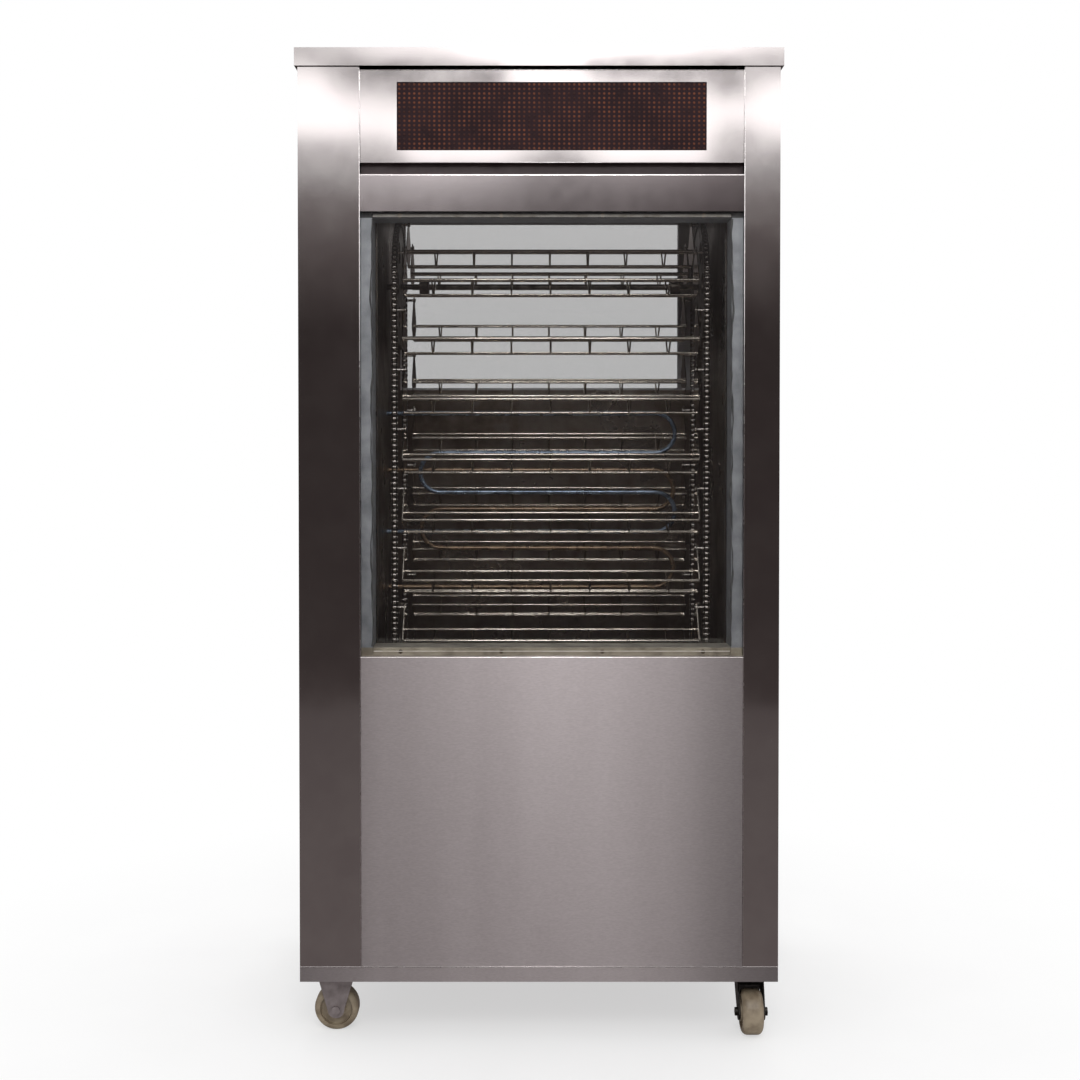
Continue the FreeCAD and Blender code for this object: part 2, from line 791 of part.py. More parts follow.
def straight_run(y, pins):
    top = top_shaft_height - chain_pitch / 2
    bottom = bottom_shaft_height + chain_pitch / 2
    h = plate_half_height
    strips = []
    for x in strip_places():
        outline = Part.Wire([
            Part.makeLine(Vector(x, y - h, bottom), Vector(x, y - h, top)),
            arc(Vector(x, y - h, top), Vector(x, y, top + h), Vector(x, y + h, top)),
            Part.makeLine(Vector(x, y + h, top), Vector(x, y + h, bottom)),
            arc(Vector(x, y + h, bottom), Vector(x, y, bottom - h), Vector(x, y - h, bottom)),
        ])
        strips.append(Part.Face(outline).extrude(Vector(plate_thickness, 0, 0)))
    rollers = [roller(y, top - k * chain_pitch) for k in range(span_pitches)]
    return chain(strips, rollers, pins)


def wrap(height, side):
    a0 = pitch_angle / 2
    a1 = 180.0 - a0
    h = plate_half_height
    cap = math.degrees(h / pitch_radius)
    strips = []
    for x in strip_places():
        outline = Part.Wire([
            arc(carousel_point(height, a0, pitch_radius + h, x, side),
                carousel_point(height, 90, pitch_radius + h, x, side),
                carousel_point(height, a1, pitch_radius + h, x, side)),
            arc(carousel_point(height, a1, pitch_radius + h, x, side),
                carousel_point(height, a1 + cap, pitch_radius, x, side),
                carousel_point(height, a1, pitch_radius - h, x, side)),
            arc(carousel_point(height, a1, pitch_radius - h, x, side),
                carousel_point(height, 90, pitch_radius - h, x, side),
                carousel_point(height, a0, pitch_radius - h, x, side)),
            arc(carousel_point(height, a0, pitch_radius - h, x, side),
                carousel_point(height, a0 - cap, pitch_radius, x, side),
                carousel_point(height, a0, pitch_radius + h, x, side)),
        ])
        strips.append(Part.Face(outline).extrude(Vector(plate_thickness, 0, 0)))
    angles = [(k + 0.5) * pitch_angle for k in range(wrap_pitches)]
    places = [carousel_point(height, a, pitch_radius, 0, side) for a in angles]
    return chain(strips, [roller(p.y, p.z) for p in places], wrap_pins(height, side))


def carousel():
    gearbox_left = chamber_left - wall - bearing_thickness - gearbox_width
    for name, height, side, left_end in (
            ("top", top_shaft_height, 1, chamber_left - wall - bearing_thickness),
            ("bottom", bottom_shaft_height, -1, gearbox_left + shaft_end_gap)):
        right_wheel = sprocket(height, side)
        left_wheel = mirrored_x(right_wheel, bay_middle)
        save(name + "_sprocket_shaft", shaft(height, left_end), right_wheel, left_wheel)
        save(name + "_chain_wrap", *wrap(height, side))
    save("front_chain_run", *straight_run(carousel_y - pitch_radius, front_pins()))
    save("rear_chain_run", *straight_run(carousel_y + pitch_radius, rear_pins()))
    bearings = []
    bearing_half = bearing_size / 2
    for height in (top_shaft_height, bottom_shaft_height):
        for x in (chamber_left - wall - bearing_thickness, chamber_right + wall):
            block = box(x, x + bearing_thickness, carousel_y - bearing_half, carousel_y + bearing_half,
                        height - bearing_half, height + bearing_half)
            bearings.append(block.cut(rod(Vector(x, carousel_y, height),
                                          Vector(x + bearing_thickness, carousel_y, height),
                                          shaft_radius + running_clearance)))
    save("shaft_bearings", *bearings)
    gearbox_right = gearbox_left + gearbox_width
    half = gearbox_size / 2
    gearbox = box(gearbox_left, gearbox_right, carousel_y - half, carousel_y + half,
                  bottom_shaft_height - half, bottom_shaft_height + half)
    hollow = rod(Vector(gearbox_left + shaft_end_gap / 2, carousel_y, bottom_shaft_height),
                 Vector(gearbox_right, carousel_y, bottom_shaft_height), shaft_radius + running_clearance)
    motor_foot = Vector((gearbox_left + gearbox_right) / 2, carousel_y, bottom_shaft_height + half)
    motor = rod(motor_foot, motor_foot + Vector(0, 0, motor_length), motor_radius)
    save("gear_motor", gearbox.cut(hollow), motor)


def basket():
    """One hanging basket, its pin axis along the X axis through the origin and its middle at x = 0."""
    inner = basket_half_length - end_plate
    lip_y = basket_half_depth - lip_rod_radius
    floor_y = trough_half_depth - floor_rod_radius
    sole = floor_drop + floor_rod_radius
    rear_lip_drop = front_lip_drop - rear_lip_rise

    def across(y, drop):
        return Vector(inner, y, -drop)

    def eye_touch(side, shoulder):
        """Where the plate's edge from its shoulder on that side meets the round of the eye."""
        reach = math.hypot(basket_half_depth, shoulder)
        slope = math.asin(eye_radius / reach) + math.atan2(shoulder, basket_half_depth)
        return Vector(inner, side * eye_radius * math.sin(slope), eye_radius * math.cos(slope))

    front_shoulder = front_lip_drop - lip_rod_radius
    rear_shoulder = rear_lip_drop - lip_rod_radius
    front_touch = eye_touch(-1, front_shoulder)
    rear_touch = eye_touch(1, rear_shoulder)
    points = [
        rear_touch, across(basket_half_depth, rear_shoulder),
        across(basket_half_depth, rear_lip_drop + lip_rod_radius), across(trough_half_depth, sole),
        across(-trough_half_depth, sole), across(-basket_half_depth, front_lip_drop + lip_rod_radius),
        across(-basket_half_depth, front_shoulder), front_touch,
    ]
    edges = [Part.makeLine(a, b) for a, b in zip(points[:-1], points[1:])]
    edges.append(arc(front_touch, Vector(inner, 0, eye_radius), rear_touch))
    plate = Part.Face(Part.Wire(edges)).extrude(Vector(end_plate, 0, 0))
    plate = plate.cut(rod(Vector(inner, 0, 0), Vector(inner + end_plate, 0, 0),
                          hanger_pin_radius + running_clearance))
    wire_places = [(k - (cross_wires - 1) / 2) * cross_wire_spacing for k in range(cross_wires)]
    floor = [rod(Vector(-inner, y, -floor_drop), Vector(inner, y, -floor_drop), floor_rod_radius)
             for y in (-floor_y, floor_y)]
    floor += [rod(Vector(x, -floor_y, -floor_drop), Vector(x, floor_y, -floor_drop), cross_wire_radius)
              for x in wire_places]
    floor_grille = joined(floor)
    grilles = []
    for side, drop in ((-1, front_lip_drop), (1, rear_lip_drop)):
        wires = [rod(Vector(-inner, side * lip_y, -drop), Vector(inner, side * lip_y, -drop), lip_rod_radius)]
        wires += [rod(Vector(x, side * lip_y, -drop), Vector(x, side * floor_y, -floor_drop), cross_wire_radius)
                  for x in wire_places]
        grilles.append(joined(wires).cut(floor_grille))
    return [plate, mirrored_x(plate, 0), floor_grille] + grilles


def baskets():
    pieces = basket()
    places = (
        ("front", front_pins()), ("rear", rear_pins()),
        ("top", wrap_pins(top_shaft_height, 1)), ("bottom", wrap_pins(bottom_shaft_height, -1)))
    for run, pins in places:
        for number, (y, z) in enumerate(pins, 1):
            move = Vector(bay_middle, y, z)
            save("basket_%s_%d" % (run, number), *[piece.translated(move) for piece in pieces])


def heaters():
    tubes = []
    for y, top in heater_places():
        rows = heater_heights(top)
        bend = heater_row_pitch / 2
        outside = chamber_left - heater_end
        edges = []
        for row, z in enumerate(rows):
            to_right = row % 2 == 0
            left_end = outside if row in (0, heater_rows - 1) else heater_left + bend
            ends = [Vector(left_end, y, z), Vector(heater_right - bend, y, z)]
            if not to_right:
                ends.reverse()
            edges.append(Part.makeLine(ends[0], ends[1]))
            if row < heater_rows - 1:
                swing = bend if to_right else -bend
                turn = ends[1] + Vector(swing, 0, -bend)
                edges.append(arc(ends[1], turn, ends[1] + Vector(0, 0, -2 * bend)))
        circle = Part.Wire([Part.makeCircle(heater_radius, Vector(outside, y, rows[0]), Vector(1, 0, 0))])
        tubes.append(Part.Wire(edges).makePipeShell([circle], True, False))
    save("heating_elements", *tubes)


def screw(foot, outward, length):
    """A round-headed screw whose head sits on a face, its shank pointing back into it."""
    head = Part.makeCylinder(screw_head_radius, screw_head_height, foot, outward)
    shank = Part.makeCylinder(screw_shank_radius, length, foot, -outward)
    return joined([head, shank])


def fasteners():
    glazing_row = [screw(foot, Vector(0, -1, 0), screw_shank_length) for foot in glazing_screw_places()]
    control_row = [screw(foot, Vector(0, 1, 0), control_plate) for foot in control_screw_places()]
    save("fasteners", *glazing_row, *control_row)


def wheel(centre, axis):
    """A moulded wheel with a rounded tread, a thinner web and a bored hub."""
    half = wheel_width / 2
    hub = wheel_hub_width / 2
    web = wheel_web_width / 2
    rim = wheel_radius - wheel_tread_radius
    bore = axle_radius + running_clearance
    corner = wheel_tread_radius * (1 - math.sqrt(0.5))
    tread = half - wheel_tread_radius

    def at(radius, along):
        return Vector(radius, 0, along)

    edges = [
        Part.makeLine(at(bore, -hub), at(wheel_hub_radius, -hub)),
        Part.makeLine(at(wheel_hub_radius, -hub), at(wheel_hub_radius, -web)),
        Part.makeLine(at(wheel_hub_radius, -web), at(rim - fork_clearance, -web)),
        Part.makeLine(at(rim - fork_clearance, -web), at(rim, -half)),
        arc(at(rim, -half), at(wheel_radius - corner, -half + corner), at(wheel_radius, -tread)),
        Part.makeLine(at(wheel_radius, -tread), at(wheel_radius, tread)),
        arc(at(wheel_radius, tread), at(wheel_radius - corner, half - corner), at(rim, half)),
        Part.makeLine(at(rim, half), at(rim - fork_clearance, web)),
        Part.makeLine(at(rim - fork_clearance, web), at(wheel_hub_radius, web)),
        Part.makeLine(at(wheel_hub_radius, web), at(wheel_hub_radius, hub)),
        Part.makeLine(at(wheel_hub_radius, hub), at(bore, hub)),
        Part.makeLine(at(bore, hub), at(bore, -hub)),
    ]
    solid = Part.Face(Part.Wire(edges)).revolve(Vector(0, 0, 0), Vector(0, 0, 1), 360)
    turn = FreeCAD.Rotation(Vector(0, 0, 1), axis)
    solid.Placement = FreeCAD.Placement(centre, turn)
    return solid


def fork_leg(eye, top, shoulder, along):
    """A tapered fork cheek in the XZ plane at y = 0: eye is its axle's place along X, top its upper edge."""
    r = fork_eye_radius
    half = along
    outline = Part.Wire([
        arc(Vector(eye + r, 0, axle_height), Vector(eye, 0, axle_height - r),
            Vector(eye - r, 0, axle_height)),
        Part.makeLine(Vector(eye - r, 0, axle_height), Vector(-half, 0, shoulder)),
        Part.makeLine(Vector(-half, 0, shoulder), Vector(-half, 0, top)),
        Part.makeLine(Vector(-half, 0, top), Vector(half, 0, top)),
        Part.makeLine(Vector(half, 0, top), Vector(half, 0, shoulder)),
        Part.makeLine(Vector(half, 0, shoulder), Vector(eye + r, 0, axle_height)),
    ])
    return Part.Face(outline).extrude(Vector(0, fork_plate, 0))


def axle_bolt(eye):
    """The wheel's axle along Y, with its head and nut outside the fork cheeks."""
    outer = wheel_hub_width / 2 + fork_clearance + fork_plate
    centre = Vector(eye, 0, axle_height)
    reach = Vector(0, outer, 0)
    nut = Vector(0, axle_nut_length, 0)
    return joined([
        rod(centre - reach - nut, centre + reach + nut, axle_radius),
        rod(centre - reach - nut, centre - reach, axle_nut_radius),
        rod(centre + reach, centre + reach + nut, axle_nut_radius),
    ])


def fork(eye, top, shoulder, along, bridge):
    """Two cheeks under a bridge plate, with the axle's holes."""
    inner = wheel_hub_width / 2 + fork_clearance
    cheek = fork_leg(eye, top, shoulder, along)
    near = cheek.translated(Vector(0, -inner - fork_plate, 0))
    far = cheek.translated(Vector(0, inner, 0))
    hole = rod(Vector(eye, -inner - fork_plate, axle_height), Vector(eye, inner + fork_plate, axle_height),
               axle_radius + running_clearance)
    return joined([near, far, bridge]).cut(hole)


def casters():
    outer = wheel_hub_width / 2 + fork_clearance + fork_plate
    plate_bottom = mount_plane - fork_plate
    mounts = []
    rigid_x = -half_width + rigid_inset_x
    swivel_x = half_width - swivel_inset_x
    quarter = FreeCAD.Rotation(Vector(0, 0, 1), 90)
    crown_top = plate_bottom - race_height - crown_gap
    crown_bottom = crown_top - crown_height
    for name, y in (("front", front + caster_inset_y), ("rear", rear - caster_inset_y)):
        rigid_bridge = box(-caster_plate_half, caster_plate_half, -caster_plate_half, caster_plate_half,
                           plate_bottom, mount_plane)
        rigid = fork(0, plate_bottom, fork_shoulder_height, fork_top_half, rigid_bridge)
        here = Vector(rigid_x, y, 0)
        mounts += [rigid.translated(here), axle_bolt(0).translated(here)]
        save(name + "_left_wheel", wheel(Vector(rigid_x, y, axle_height), Vector(0, 1, 0)))
        pivot = Vector(swivel_x, y, 0)
        mounts.append(joined([
            box(-caster_plate_half, caster_plate_half, -caster_plate_half, caster_plate_half,
                plate_bottom, mount_plane),
            rod(Vector(0, 0, plate_bottom - race_height), Vector(0, 0, plate_bottom), race_radius),
            rod(Vector(0, 0, crown_bottom - crown_gap - kingpin_head_height), Vector(0, 0, plate_bottom),
                kingpin_radius),
            rod(Vector(0, 0, crown_bottom - crown_gap - kingpin_head_height),
                Vector(0, 0, crown_bottom - crown_gap), kingpin_head_radius),
        ]).translated(pivot))
        crown = box(-crown_half, crown_half, -outer, outer, crown_bottom, crown_top)
        crown = crown.cut(rod(Vector(0, 0, crown_bottom), Vector(0, 0, crown_top),
                              kingpin_radius + running_clearance))
        swivel = fork(-swivel_trail, crown_bottom, fork_shoulder_height, crown_half, crown)
        turned = FreeCAD.Placement(pivot, quarter)
        pieces = []
        for piece in (swivel, axle_bolt(-swivel_trail)):
            piece.Placement = turned
            pieces.append(piece)
        save("swivel_fork_" + name, *pieces)
        save(name + "_right_wheel",
             wheel(Vector(swivel_x, y - swivel_trail, axle_height), Vector(1, 0, 0)))
    save("caster_mounts", *mounts)


os.makedirs("parts", exist_ok=True)
base_frame()
side_panels()
top_cap()
front_panels()
glazing()
chamber()
rear_panel()
rear_door()
drip_tray()
controls()
cable_gland()
carousel()
baskets()
heaters()
fasteners()
casters()
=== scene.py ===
# %% [markdown]
# This scene dresses a potato baking oven: a tall stainless steel cabinet on casters, with a glass front and a
# chain carousel of wire baskets inside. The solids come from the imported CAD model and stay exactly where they
# are. Here they get their finishes, and the pieces that are too fine for the CAD model are built as meshes.

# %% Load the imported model
import math

import bmesh
import bpy
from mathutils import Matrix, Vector


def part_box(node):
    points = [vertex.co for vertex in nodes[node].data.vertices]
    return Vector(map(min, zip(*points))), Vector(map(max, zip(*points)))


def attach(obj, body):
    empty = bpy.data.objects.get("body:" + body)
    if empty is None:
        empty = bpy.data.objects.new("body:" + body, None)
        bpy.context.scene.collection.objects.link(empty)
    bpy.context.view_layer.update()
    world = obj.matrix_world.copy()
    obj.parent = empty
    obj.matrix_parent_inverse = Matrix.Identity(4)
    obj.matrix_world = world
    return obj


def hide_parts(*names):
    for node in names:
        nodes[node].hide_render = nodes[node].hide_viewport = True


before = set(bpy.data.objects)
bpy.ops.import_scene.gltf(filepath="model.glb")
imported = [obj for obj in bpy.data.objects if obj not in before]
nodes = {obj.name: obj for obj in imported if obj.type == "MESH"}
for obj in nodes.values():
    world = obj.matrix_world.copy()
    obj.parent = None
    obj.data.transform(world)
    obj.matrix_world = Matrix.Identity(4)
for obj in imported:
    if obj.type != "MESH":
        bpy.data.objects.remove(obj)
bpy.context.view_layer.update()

MM = 0.001

# %% [markdown]
# Colours are written the way a colour picker shows them, as sRGB hex. Blender's shaders work with linear
# light, so one function turns the hex value into linear numbers. A second small function adds a shader node
# with its settings and its links, so that each finish below reads as a short recipe. Many finishes change
# from one place to another, so one more function tells how far along an axis a point lies.

# %% Colour and shader helpers
def linear(hex_colour):
    """An sRGB hex colour as the linear RGBA that shader sockets take."""
    parts = [int(hex_colour[i:i + 2], 16) / 255 for i in (1, 3, 5)]
    return [c / 12.92 if c <= 0.04045 else ((c + 0.055) / 1.055) ** 2.4 for c in parts] + [1.0]


def add(tree, kind, inputs=None, ramp=None, **settings):
    """Adds a shader node. An input is a value, a socket, or a node that stands for its first output."""
    made = tree.nodes.new("ShaderNode" + kind)
    for name, value in settings.items():
        setattr(made, name, value)
    for name, value in (inputs or {}).items():
        if isinstance(value, bpy.types.Node):
            value = value.outputs[0]
        if isinstance(value, bpy.types.NodeSocket):
            tree.links.new(value, made.inputs[name])
        else:
            made.inputs[name].default_value = value
    if ramp:
        stops = made.color_ramp.elements
        stops.remove(stops[1])
        stops[0].position, stops[0].color = ramp[0]
        for place, colour in ramp[1:]:
            stops.new(place).color = colour
    return made


def new_finish(name):
    """A material with an empty node tree, its tree, and each point's place on the object in metres."""
    material = bpy.data.materials.new(name)
    material.use_nodes = True
    material.node_tree.nodes.clear()
    place = add(material.node_tree, "TexCoord").outputs["Object"]
    return material, material.node_tree, place


def grey(level):
    """A grey ramp stop of that linear level."""
    return (level, level, level, 1.0)


def share_along(tree, place, axis, start, end):
    """How far each point lies from a start to an end along an axis, from 0 to 1."""
    where = add(tree, "SeparateXYZ", {"Vector": place}).outputs[axis]
    return add(tree, "MapRange", {"Value": where, "From Min": start, "From Max": end})


print("white in linear light:", linear("#ffffff"), "mid grey:", [round(c, 3) for c in linear("#808080")])

# %% [markdown]
# The camera stands in front of the oven, a little above its middle, and looks almost level, so the sides of
# the cabinet stay upright in the picture. The lens shift slides the picture down instead of tilting the
# camera. The numbers were fitted to the corners, seams and basket rods of the real oven.

# %% Camera
camera_data = bpy.data.cameras.new("front_camera")
camera_data.sensor_width = 36.0
camera_data.lens = 50.26
camera_data.shift_x = 0.0112
camera_data.shift_y = -0.065
camera = bpy.data.objects.new("front_camera", camera_data)
camera.location = Vector((-18.5, -2781.9, 1003.4)) * MM
camera.rotation_euler = (math.radians(90 - 1.06), 0, 0)
bpy.context.scene.collection.objects.link(camera)
bpy.context.scene.camera = camera
bpy.context.scene.view_settings.view_transform = "Standard"
print("camera at", [round(v, 3) for v in camera.location], "lens", round(camera_data.lens, 2), "mm")

# %% [markdown]
# The floor is plain and pale. Near the oven it takes light and shadow, and further out it fades into the
# white of the background, so no horizon line shows. The world is white wherever the camera, a mirror or a
# pane looks at it, and a softer fill where it lights matt surfaces.

# %% Floor and background
FILL = 0.8
FLOOR_REACH = 9.0
FADE_START = 0.5
FADE_END = 1.3
FADE_LEAST = 0.55
SPECKLE_MM = 250.0


def seen_directly(tree):
    """1 where the camera, a mirror or a pane looks, and 0 where light falls on a matt surface."""
    ray = add(tree, "LightPath").outputs
    seen = add(tree, "Math", {0: ray["Is Camera Ray"], 1: ray["Is Glossy Ray"]}, operation="MAXIMUM")
    return add(tree, "Math", {0: seen, 1: ray["Is Transmission Ray"]}, operation="MAXIMUM")


def stage_mesh(name, points, faces, material):
    """A mesh that belongs to the studio and not to the oven."""
    mesh = bpy.data.meshes.new(name)
    mesh.from_pydata(points, [], faces)
    mesh.materials.append(material)
    card = bpy.data.objects.new(name, mesh)
    bpy.context.scene.collection.objects.link(card)
    return card


floor_finish, tree, place = new_finish("matt_painted_floor")
reach = add(tree, "VectorMath", {0: place}, operation="LENGTH").outputs["Value"]
fade = add(tree, "MapRange", {"Value": reach, "From Min": FADE_START, "From Max": FADE_END,
                              "To Min": FADE_LEAST})
fade = add(tree, "Math", {0: fade, 1: seen_directly(tree)}, operation="MULTIPLY")
speckle = add(tree, "TexNoise", {"Vector": place, "Scale": 1000 / SPECKLE_MM})
paint = add(tree, "ValToRGB", {"Fac": speckle}, ramp=[(0.3, linear("#f4f4f4")), (0.7, linear("#fafafa"))])
matt = add(tree, "BsdfPrincipled", {"Base Color": paint, "Roughness": 0.9, "Specular IOR Level": 0.1})
white = add(tree, "Emission", {"Color": (1, 1, 1, 1), "Strength": 1.0})
mix = add(tree, "MixShader", {"Fac": fade, 1: matt, 2: white})
add(tree, "OutputMaterial", {"Surface": mix})
floor_points = [(x * FLOOR_REACH, y * FLOOR_REACH, 0) for x, y in ((-1, -1), (1, -1), (1, 1), (-1, 1))]
stage_mesh("studio_floor", floor_points, [(0, 1, 2, 3)], floor_finish)

world = bpy.data.worlds.new("studio_world")
world.use_nodes = True
tree = world.node_tree
tree.nodes.clear()
level = add(tree, "MapRange", {"Value": seen_directly(tree), "To Min": FILL, "To Max": 1.0})
sky = add(tree, "Background", {"Color": (1, 1, 1, 1), "Strength": level})
add(tree, "OutputWorld", {"Surface": sky})
bpy.context.scene.world = world
print("floor and world ready, fill level", FILL)

# %% [markdown]
# Bright steel shows the room more than it shows itself. A photographer darkens such steel with flags: large
# dark cards round the set that only show as reflections. Here one ring wall goes all the way round, dark
# below and brighter towards its top, with a dim card on the floor, and it is set to show in reflections only.
# Near its top runs a white band with two lobes below it and a rise in the middle: these are the white patches
# on the pillars and the fascia. Above the band the cloth is dark again, and a bright rim at the very top is
# what the cap's edge mirrors.

# %% Flag cloth
CLOTH_TOP = 2.5
PATTERN_REACH = 1.0
BAND_LOW = 2.205
LOBE_DROP = 0.15
BAND_HIGH = 2.3
BAND_RISE = 0.3
BAND_LEVEL = 2.0
EDGE_SOFTNESS = 0.03
RIM_START = 2.455
RIM_FULL = 2.47


def warm(level, warmth):
    """A ramp stop of that linear level, with green and blue held back a little."""
    return (level, level * (1 - warmth), level * (1 - 1.15 * warmth), 1.0)


ring_finish, tree, place = new_finish("studio_flag_cloth")
height = add(tree, "SeparateXYZ", {"Vector": place}).outputs["Z"]
cloth = add(tree, "ValToRGB", {"Fac": share_along(tree, place, "Z", 0, CLOTH_TOP)}, ramp=[
    (0.0, warm(0.07, 0.17)), (0.12, warm(0.053, 0.17)), (0.58, warm(0.043, 0.17)), (0.68, warm(0.105, 0.13)),
    (0.73, warm(0.17, 0.10)), (0.775, warm(0.27, 0.06)), (0.813, grey(0.5)), (0.85, grey(0.75)),
    (0.92, grey(0.7)), (0.945, grey(0.4)), (0.98, grey(0.2))])
across = share_along(tree, place, "X", -PATTERN_REACH, PATTERN_REACH)
lobes = add(tree, "ValToRGB", {"Fac": across}, ramp=[
    (0.15, grey(0.33)), (0.17, grey(0.22)), (0.225, grey(0.22)), (0.26, grey(1)), (0.46, grey(1)),
    (0.515, grey(0.33)), (0.59, grey(0.33)), (0.63, grey(1)), (0.83, grey(1)), (0.855, grey(0)),
    (0.905, grey(0)), (0.92, grey(0.33))])
rise = add(tree, "ValToRGB", {"Fac": across}, ramp=[
    (0.095, grey(0.4)), (0.12, grey(0.18)), (0.15, grey(0.12)), (0.17, grey(0.06)), (0.44, grey(0.06)),
    (0.475, grey(1)), (0.57, grey(1)), (0.61, grey(0.3)), (0.72, grey(0.3)), (0.76, grey(0.08)),
    (0.82, grey(0.29)), (0.86, grey(0.06)), (0.905, grey(0.06)), (0.92, grey(0.3))])
low_edge = add(tree, "Math", {0: lobes, 1: -LOBE_DROP, 2: BAND_LOW}, operation="MULTIPLY_ADD")
high_edge = add(tree, "Math", {0: rise, 1: BAND_RISE, 2: BAND_HIGH}, operation="MULTIPLY_ADD")
sides = []
for upper, lower in ((height, low_edge), (high_edge, height)):
    gap = add(tree, "Math", {0: upper, 1: lower}, operation="SUBTRACT")
    sides.append(add(tree, "MapRange", {"Value": gap, "From Min": -EDGE_SOFTNESS, "From Max": EDGE_SOFTNESS}))
lit = add(tree, "Math", {0: sides[0], 1: sides[1]}, operation="MULTIPLY")
tone = add(tree, "Mix", {"Factor": lit, 6: cloth, 7: grey(BAND_LEVEL)}, data_type="RGBA").outputs[2]
rim = add(tree, "ValToRGB", {"Fac": across}, ramp=[
    (0.075, grey(0.85)), (0.2, grey(1.75)), (0.34, grey(2.15)), (0.45, grey(2.6)), (0.65, grey(2.75)),
    (0.75, grey(2.4)), (0.87, grey(2.3)), (0.96, grey(1.85))])
on_rim = share_along(tree, place, "Z", RIM_START, RIM_FULL)
tone = add(tree, "Mix", {"Factor": on_rim, 6: tone, 7: rim}, data_type="RGBA").outputs[2]
glow = add(tree, "Emission", {"Color": tone, "Strength": 1.0})
add(tree, "OutputMaterial", {"Surface": glow})
print(ring_finish.name, "white band from", BAND_LOW - LOBE_DROP, "m up, rim from", RIM_START, "m up")

# %% Ring and floor card
RING_RADIUS = 3.6
RING_HEIGHT = 2.6
SIDES = 64
CARD_HEIGHT = 0.002
ring_points = []
for z in (0.0, RING_HEIGHT):
    for k in range(SIDES):
        turn = 2 * math.pi * k / SIDES
        ring_points.append((RING_RADIUS * math.cos(turn), RING_RADIUS * math.sin(turn), z))
ring_faces = [(k, (k + 1) % SIDES, SIDES + (k + 1) % SIDES, SIDES + k) for k in range(SIDES)]
ring = stage_mesh("studio_ring", ring_points, ring_faces, ring_finish)

card_finish, tree, place = new_finish("studio_floor_cloth")
reach = add(tree, "VectorMath", {0: place}, operation="LENGTH").outputs["Value"]
outwards = add(tree, "Math", {0: reach, 1: RING_RADIUS}, operation="DIVIDE")
tone = add(tree, "ValToRGB", {"Fac": outwards}, ramp=[(0.1, warm(0.16, 0.12)), (1.0, warm(0.12, 0.12))])
glow = add(tree, "Emission", {"Color": tone, "Strength": 1.0})
add(tree, "OutputMaterial", {"Surface": glow})
disc_points = [(x, y, CARD_HEIGHT) for x, y, z in ring_points[:SIDES]]
disc = stage_mesh("studio_floor_card", disc_points, [tuple(range(SIDES))], card_finish)

for card in (ring, disc):
    card.visible_camera = False
    card.visible_diffuse = False
    card.visible_transmission = False
    card.visible_volume_scatter = False
    card.visible_shadow = False
print("ring of", len(ring_faces), "cards, radius", RING_RADIUS, "m")

# %% [markdown]
# Three soft lamps light the set: one in front, high up, which gives the brushed lower panel its bright centre
# and the basket rods their bright lines; a broad one overhead; and one behind, so that the back reads clearly
# too.

# %% Lamps
def soft_lamp(name, place, target, width, tall, radiance):
    """A rectangular softbox. Radiance is how bright its face is, with 1 as white."""
    data = bpy.data.lights.new(name, "AREA")
    data.shape = "RECTANGLE"
    data.size = width
    data.size_y = tall
    data.energy = radiance * math.pi * width * tall
    lamp = bpy.data.objects.new(name, data)
    lamp.location = place
    lamp.rotation_euler = (Vector(target) - Vector(place)).to_track_quat("-Z", "Y").to_euler()
    lamp.visible_camera = False
    bpy.context.scene.collection.objects.link(lamp)
    return lamp


# Each has its name, place, target, width, height and radiance.
lamps = [
    soft_lamp("front_lamp", (0.08, -3.3, 3.25), (0, -0.3, 1.0), 0.8, 1.3, 11.0),
    soft_lamp("top_lamp", (0.0, 0.6, 3.6), (0, 0, 1.0), 2.6, 2.0, 1.2),
    soft_lamp("rear_lamp", (0.9, 3.2, 2.5), (0, 0, 0.9), 1.6, 0.9, 2.0),
]
for lamp in lamps:
    print(lamp.name, "at", [round(v, 2) for v in lamp.location], "energy", round(lamp.data.energy, 1), "W")

# %% [markdown]
# The side panels with their pillars, the display fascia and the cap are polished stainless sheet. It is
# nearly a mirror, but thin sheet is never quite flat, so reflections wobble: a large soft noise feeds a Bump
# node for that. A second noise varies the roughness a little, as wiping and handling do.

# %% Polished stainless steel
polished_steel, tree, place = new_finish("stainless_steel_polished_sheet")
WAVE_MM = 170.0
WAVE_DEPTH_MM = 0.45
SMEAR_MM = 60.0
wave = add(tree, "TexNoise", {"Vector": place, "Scale": 1000 / WAVE_MM, "Detail": 1.0})
smear = add(tree, "TexNoise", {"Vector": place, "Scale": 1000 / SMEAR_MM, "Detail": 4.0})
tint = add(tree, "ValToRGB", {"Fac": smear}, ramp=[(0.35, linear("#c9c1c1")), (0.65, linear("#d1cac9"))])
rough = add(tree, "MapRange", {"Value": smear, "From Min": 0.3, "From Max": 0.7,
                               "To Min": 0.07, "To Max": 0.11})
bump = add(tree, "Bump", {"Height": wave, "Strength": 1.0, "Distance": WAVE_DEPTH_MM * MM})
steel = add(tree, "BsdfPrincipled", {"Base Color": tint, "Metallic": 1.0, "Roughness": rough, "Normal": bump})
add(tree, "OutputMaterial", {"Surface": steel})
print(polished_steel.name, "waves of", WAVE_MM, "mm")
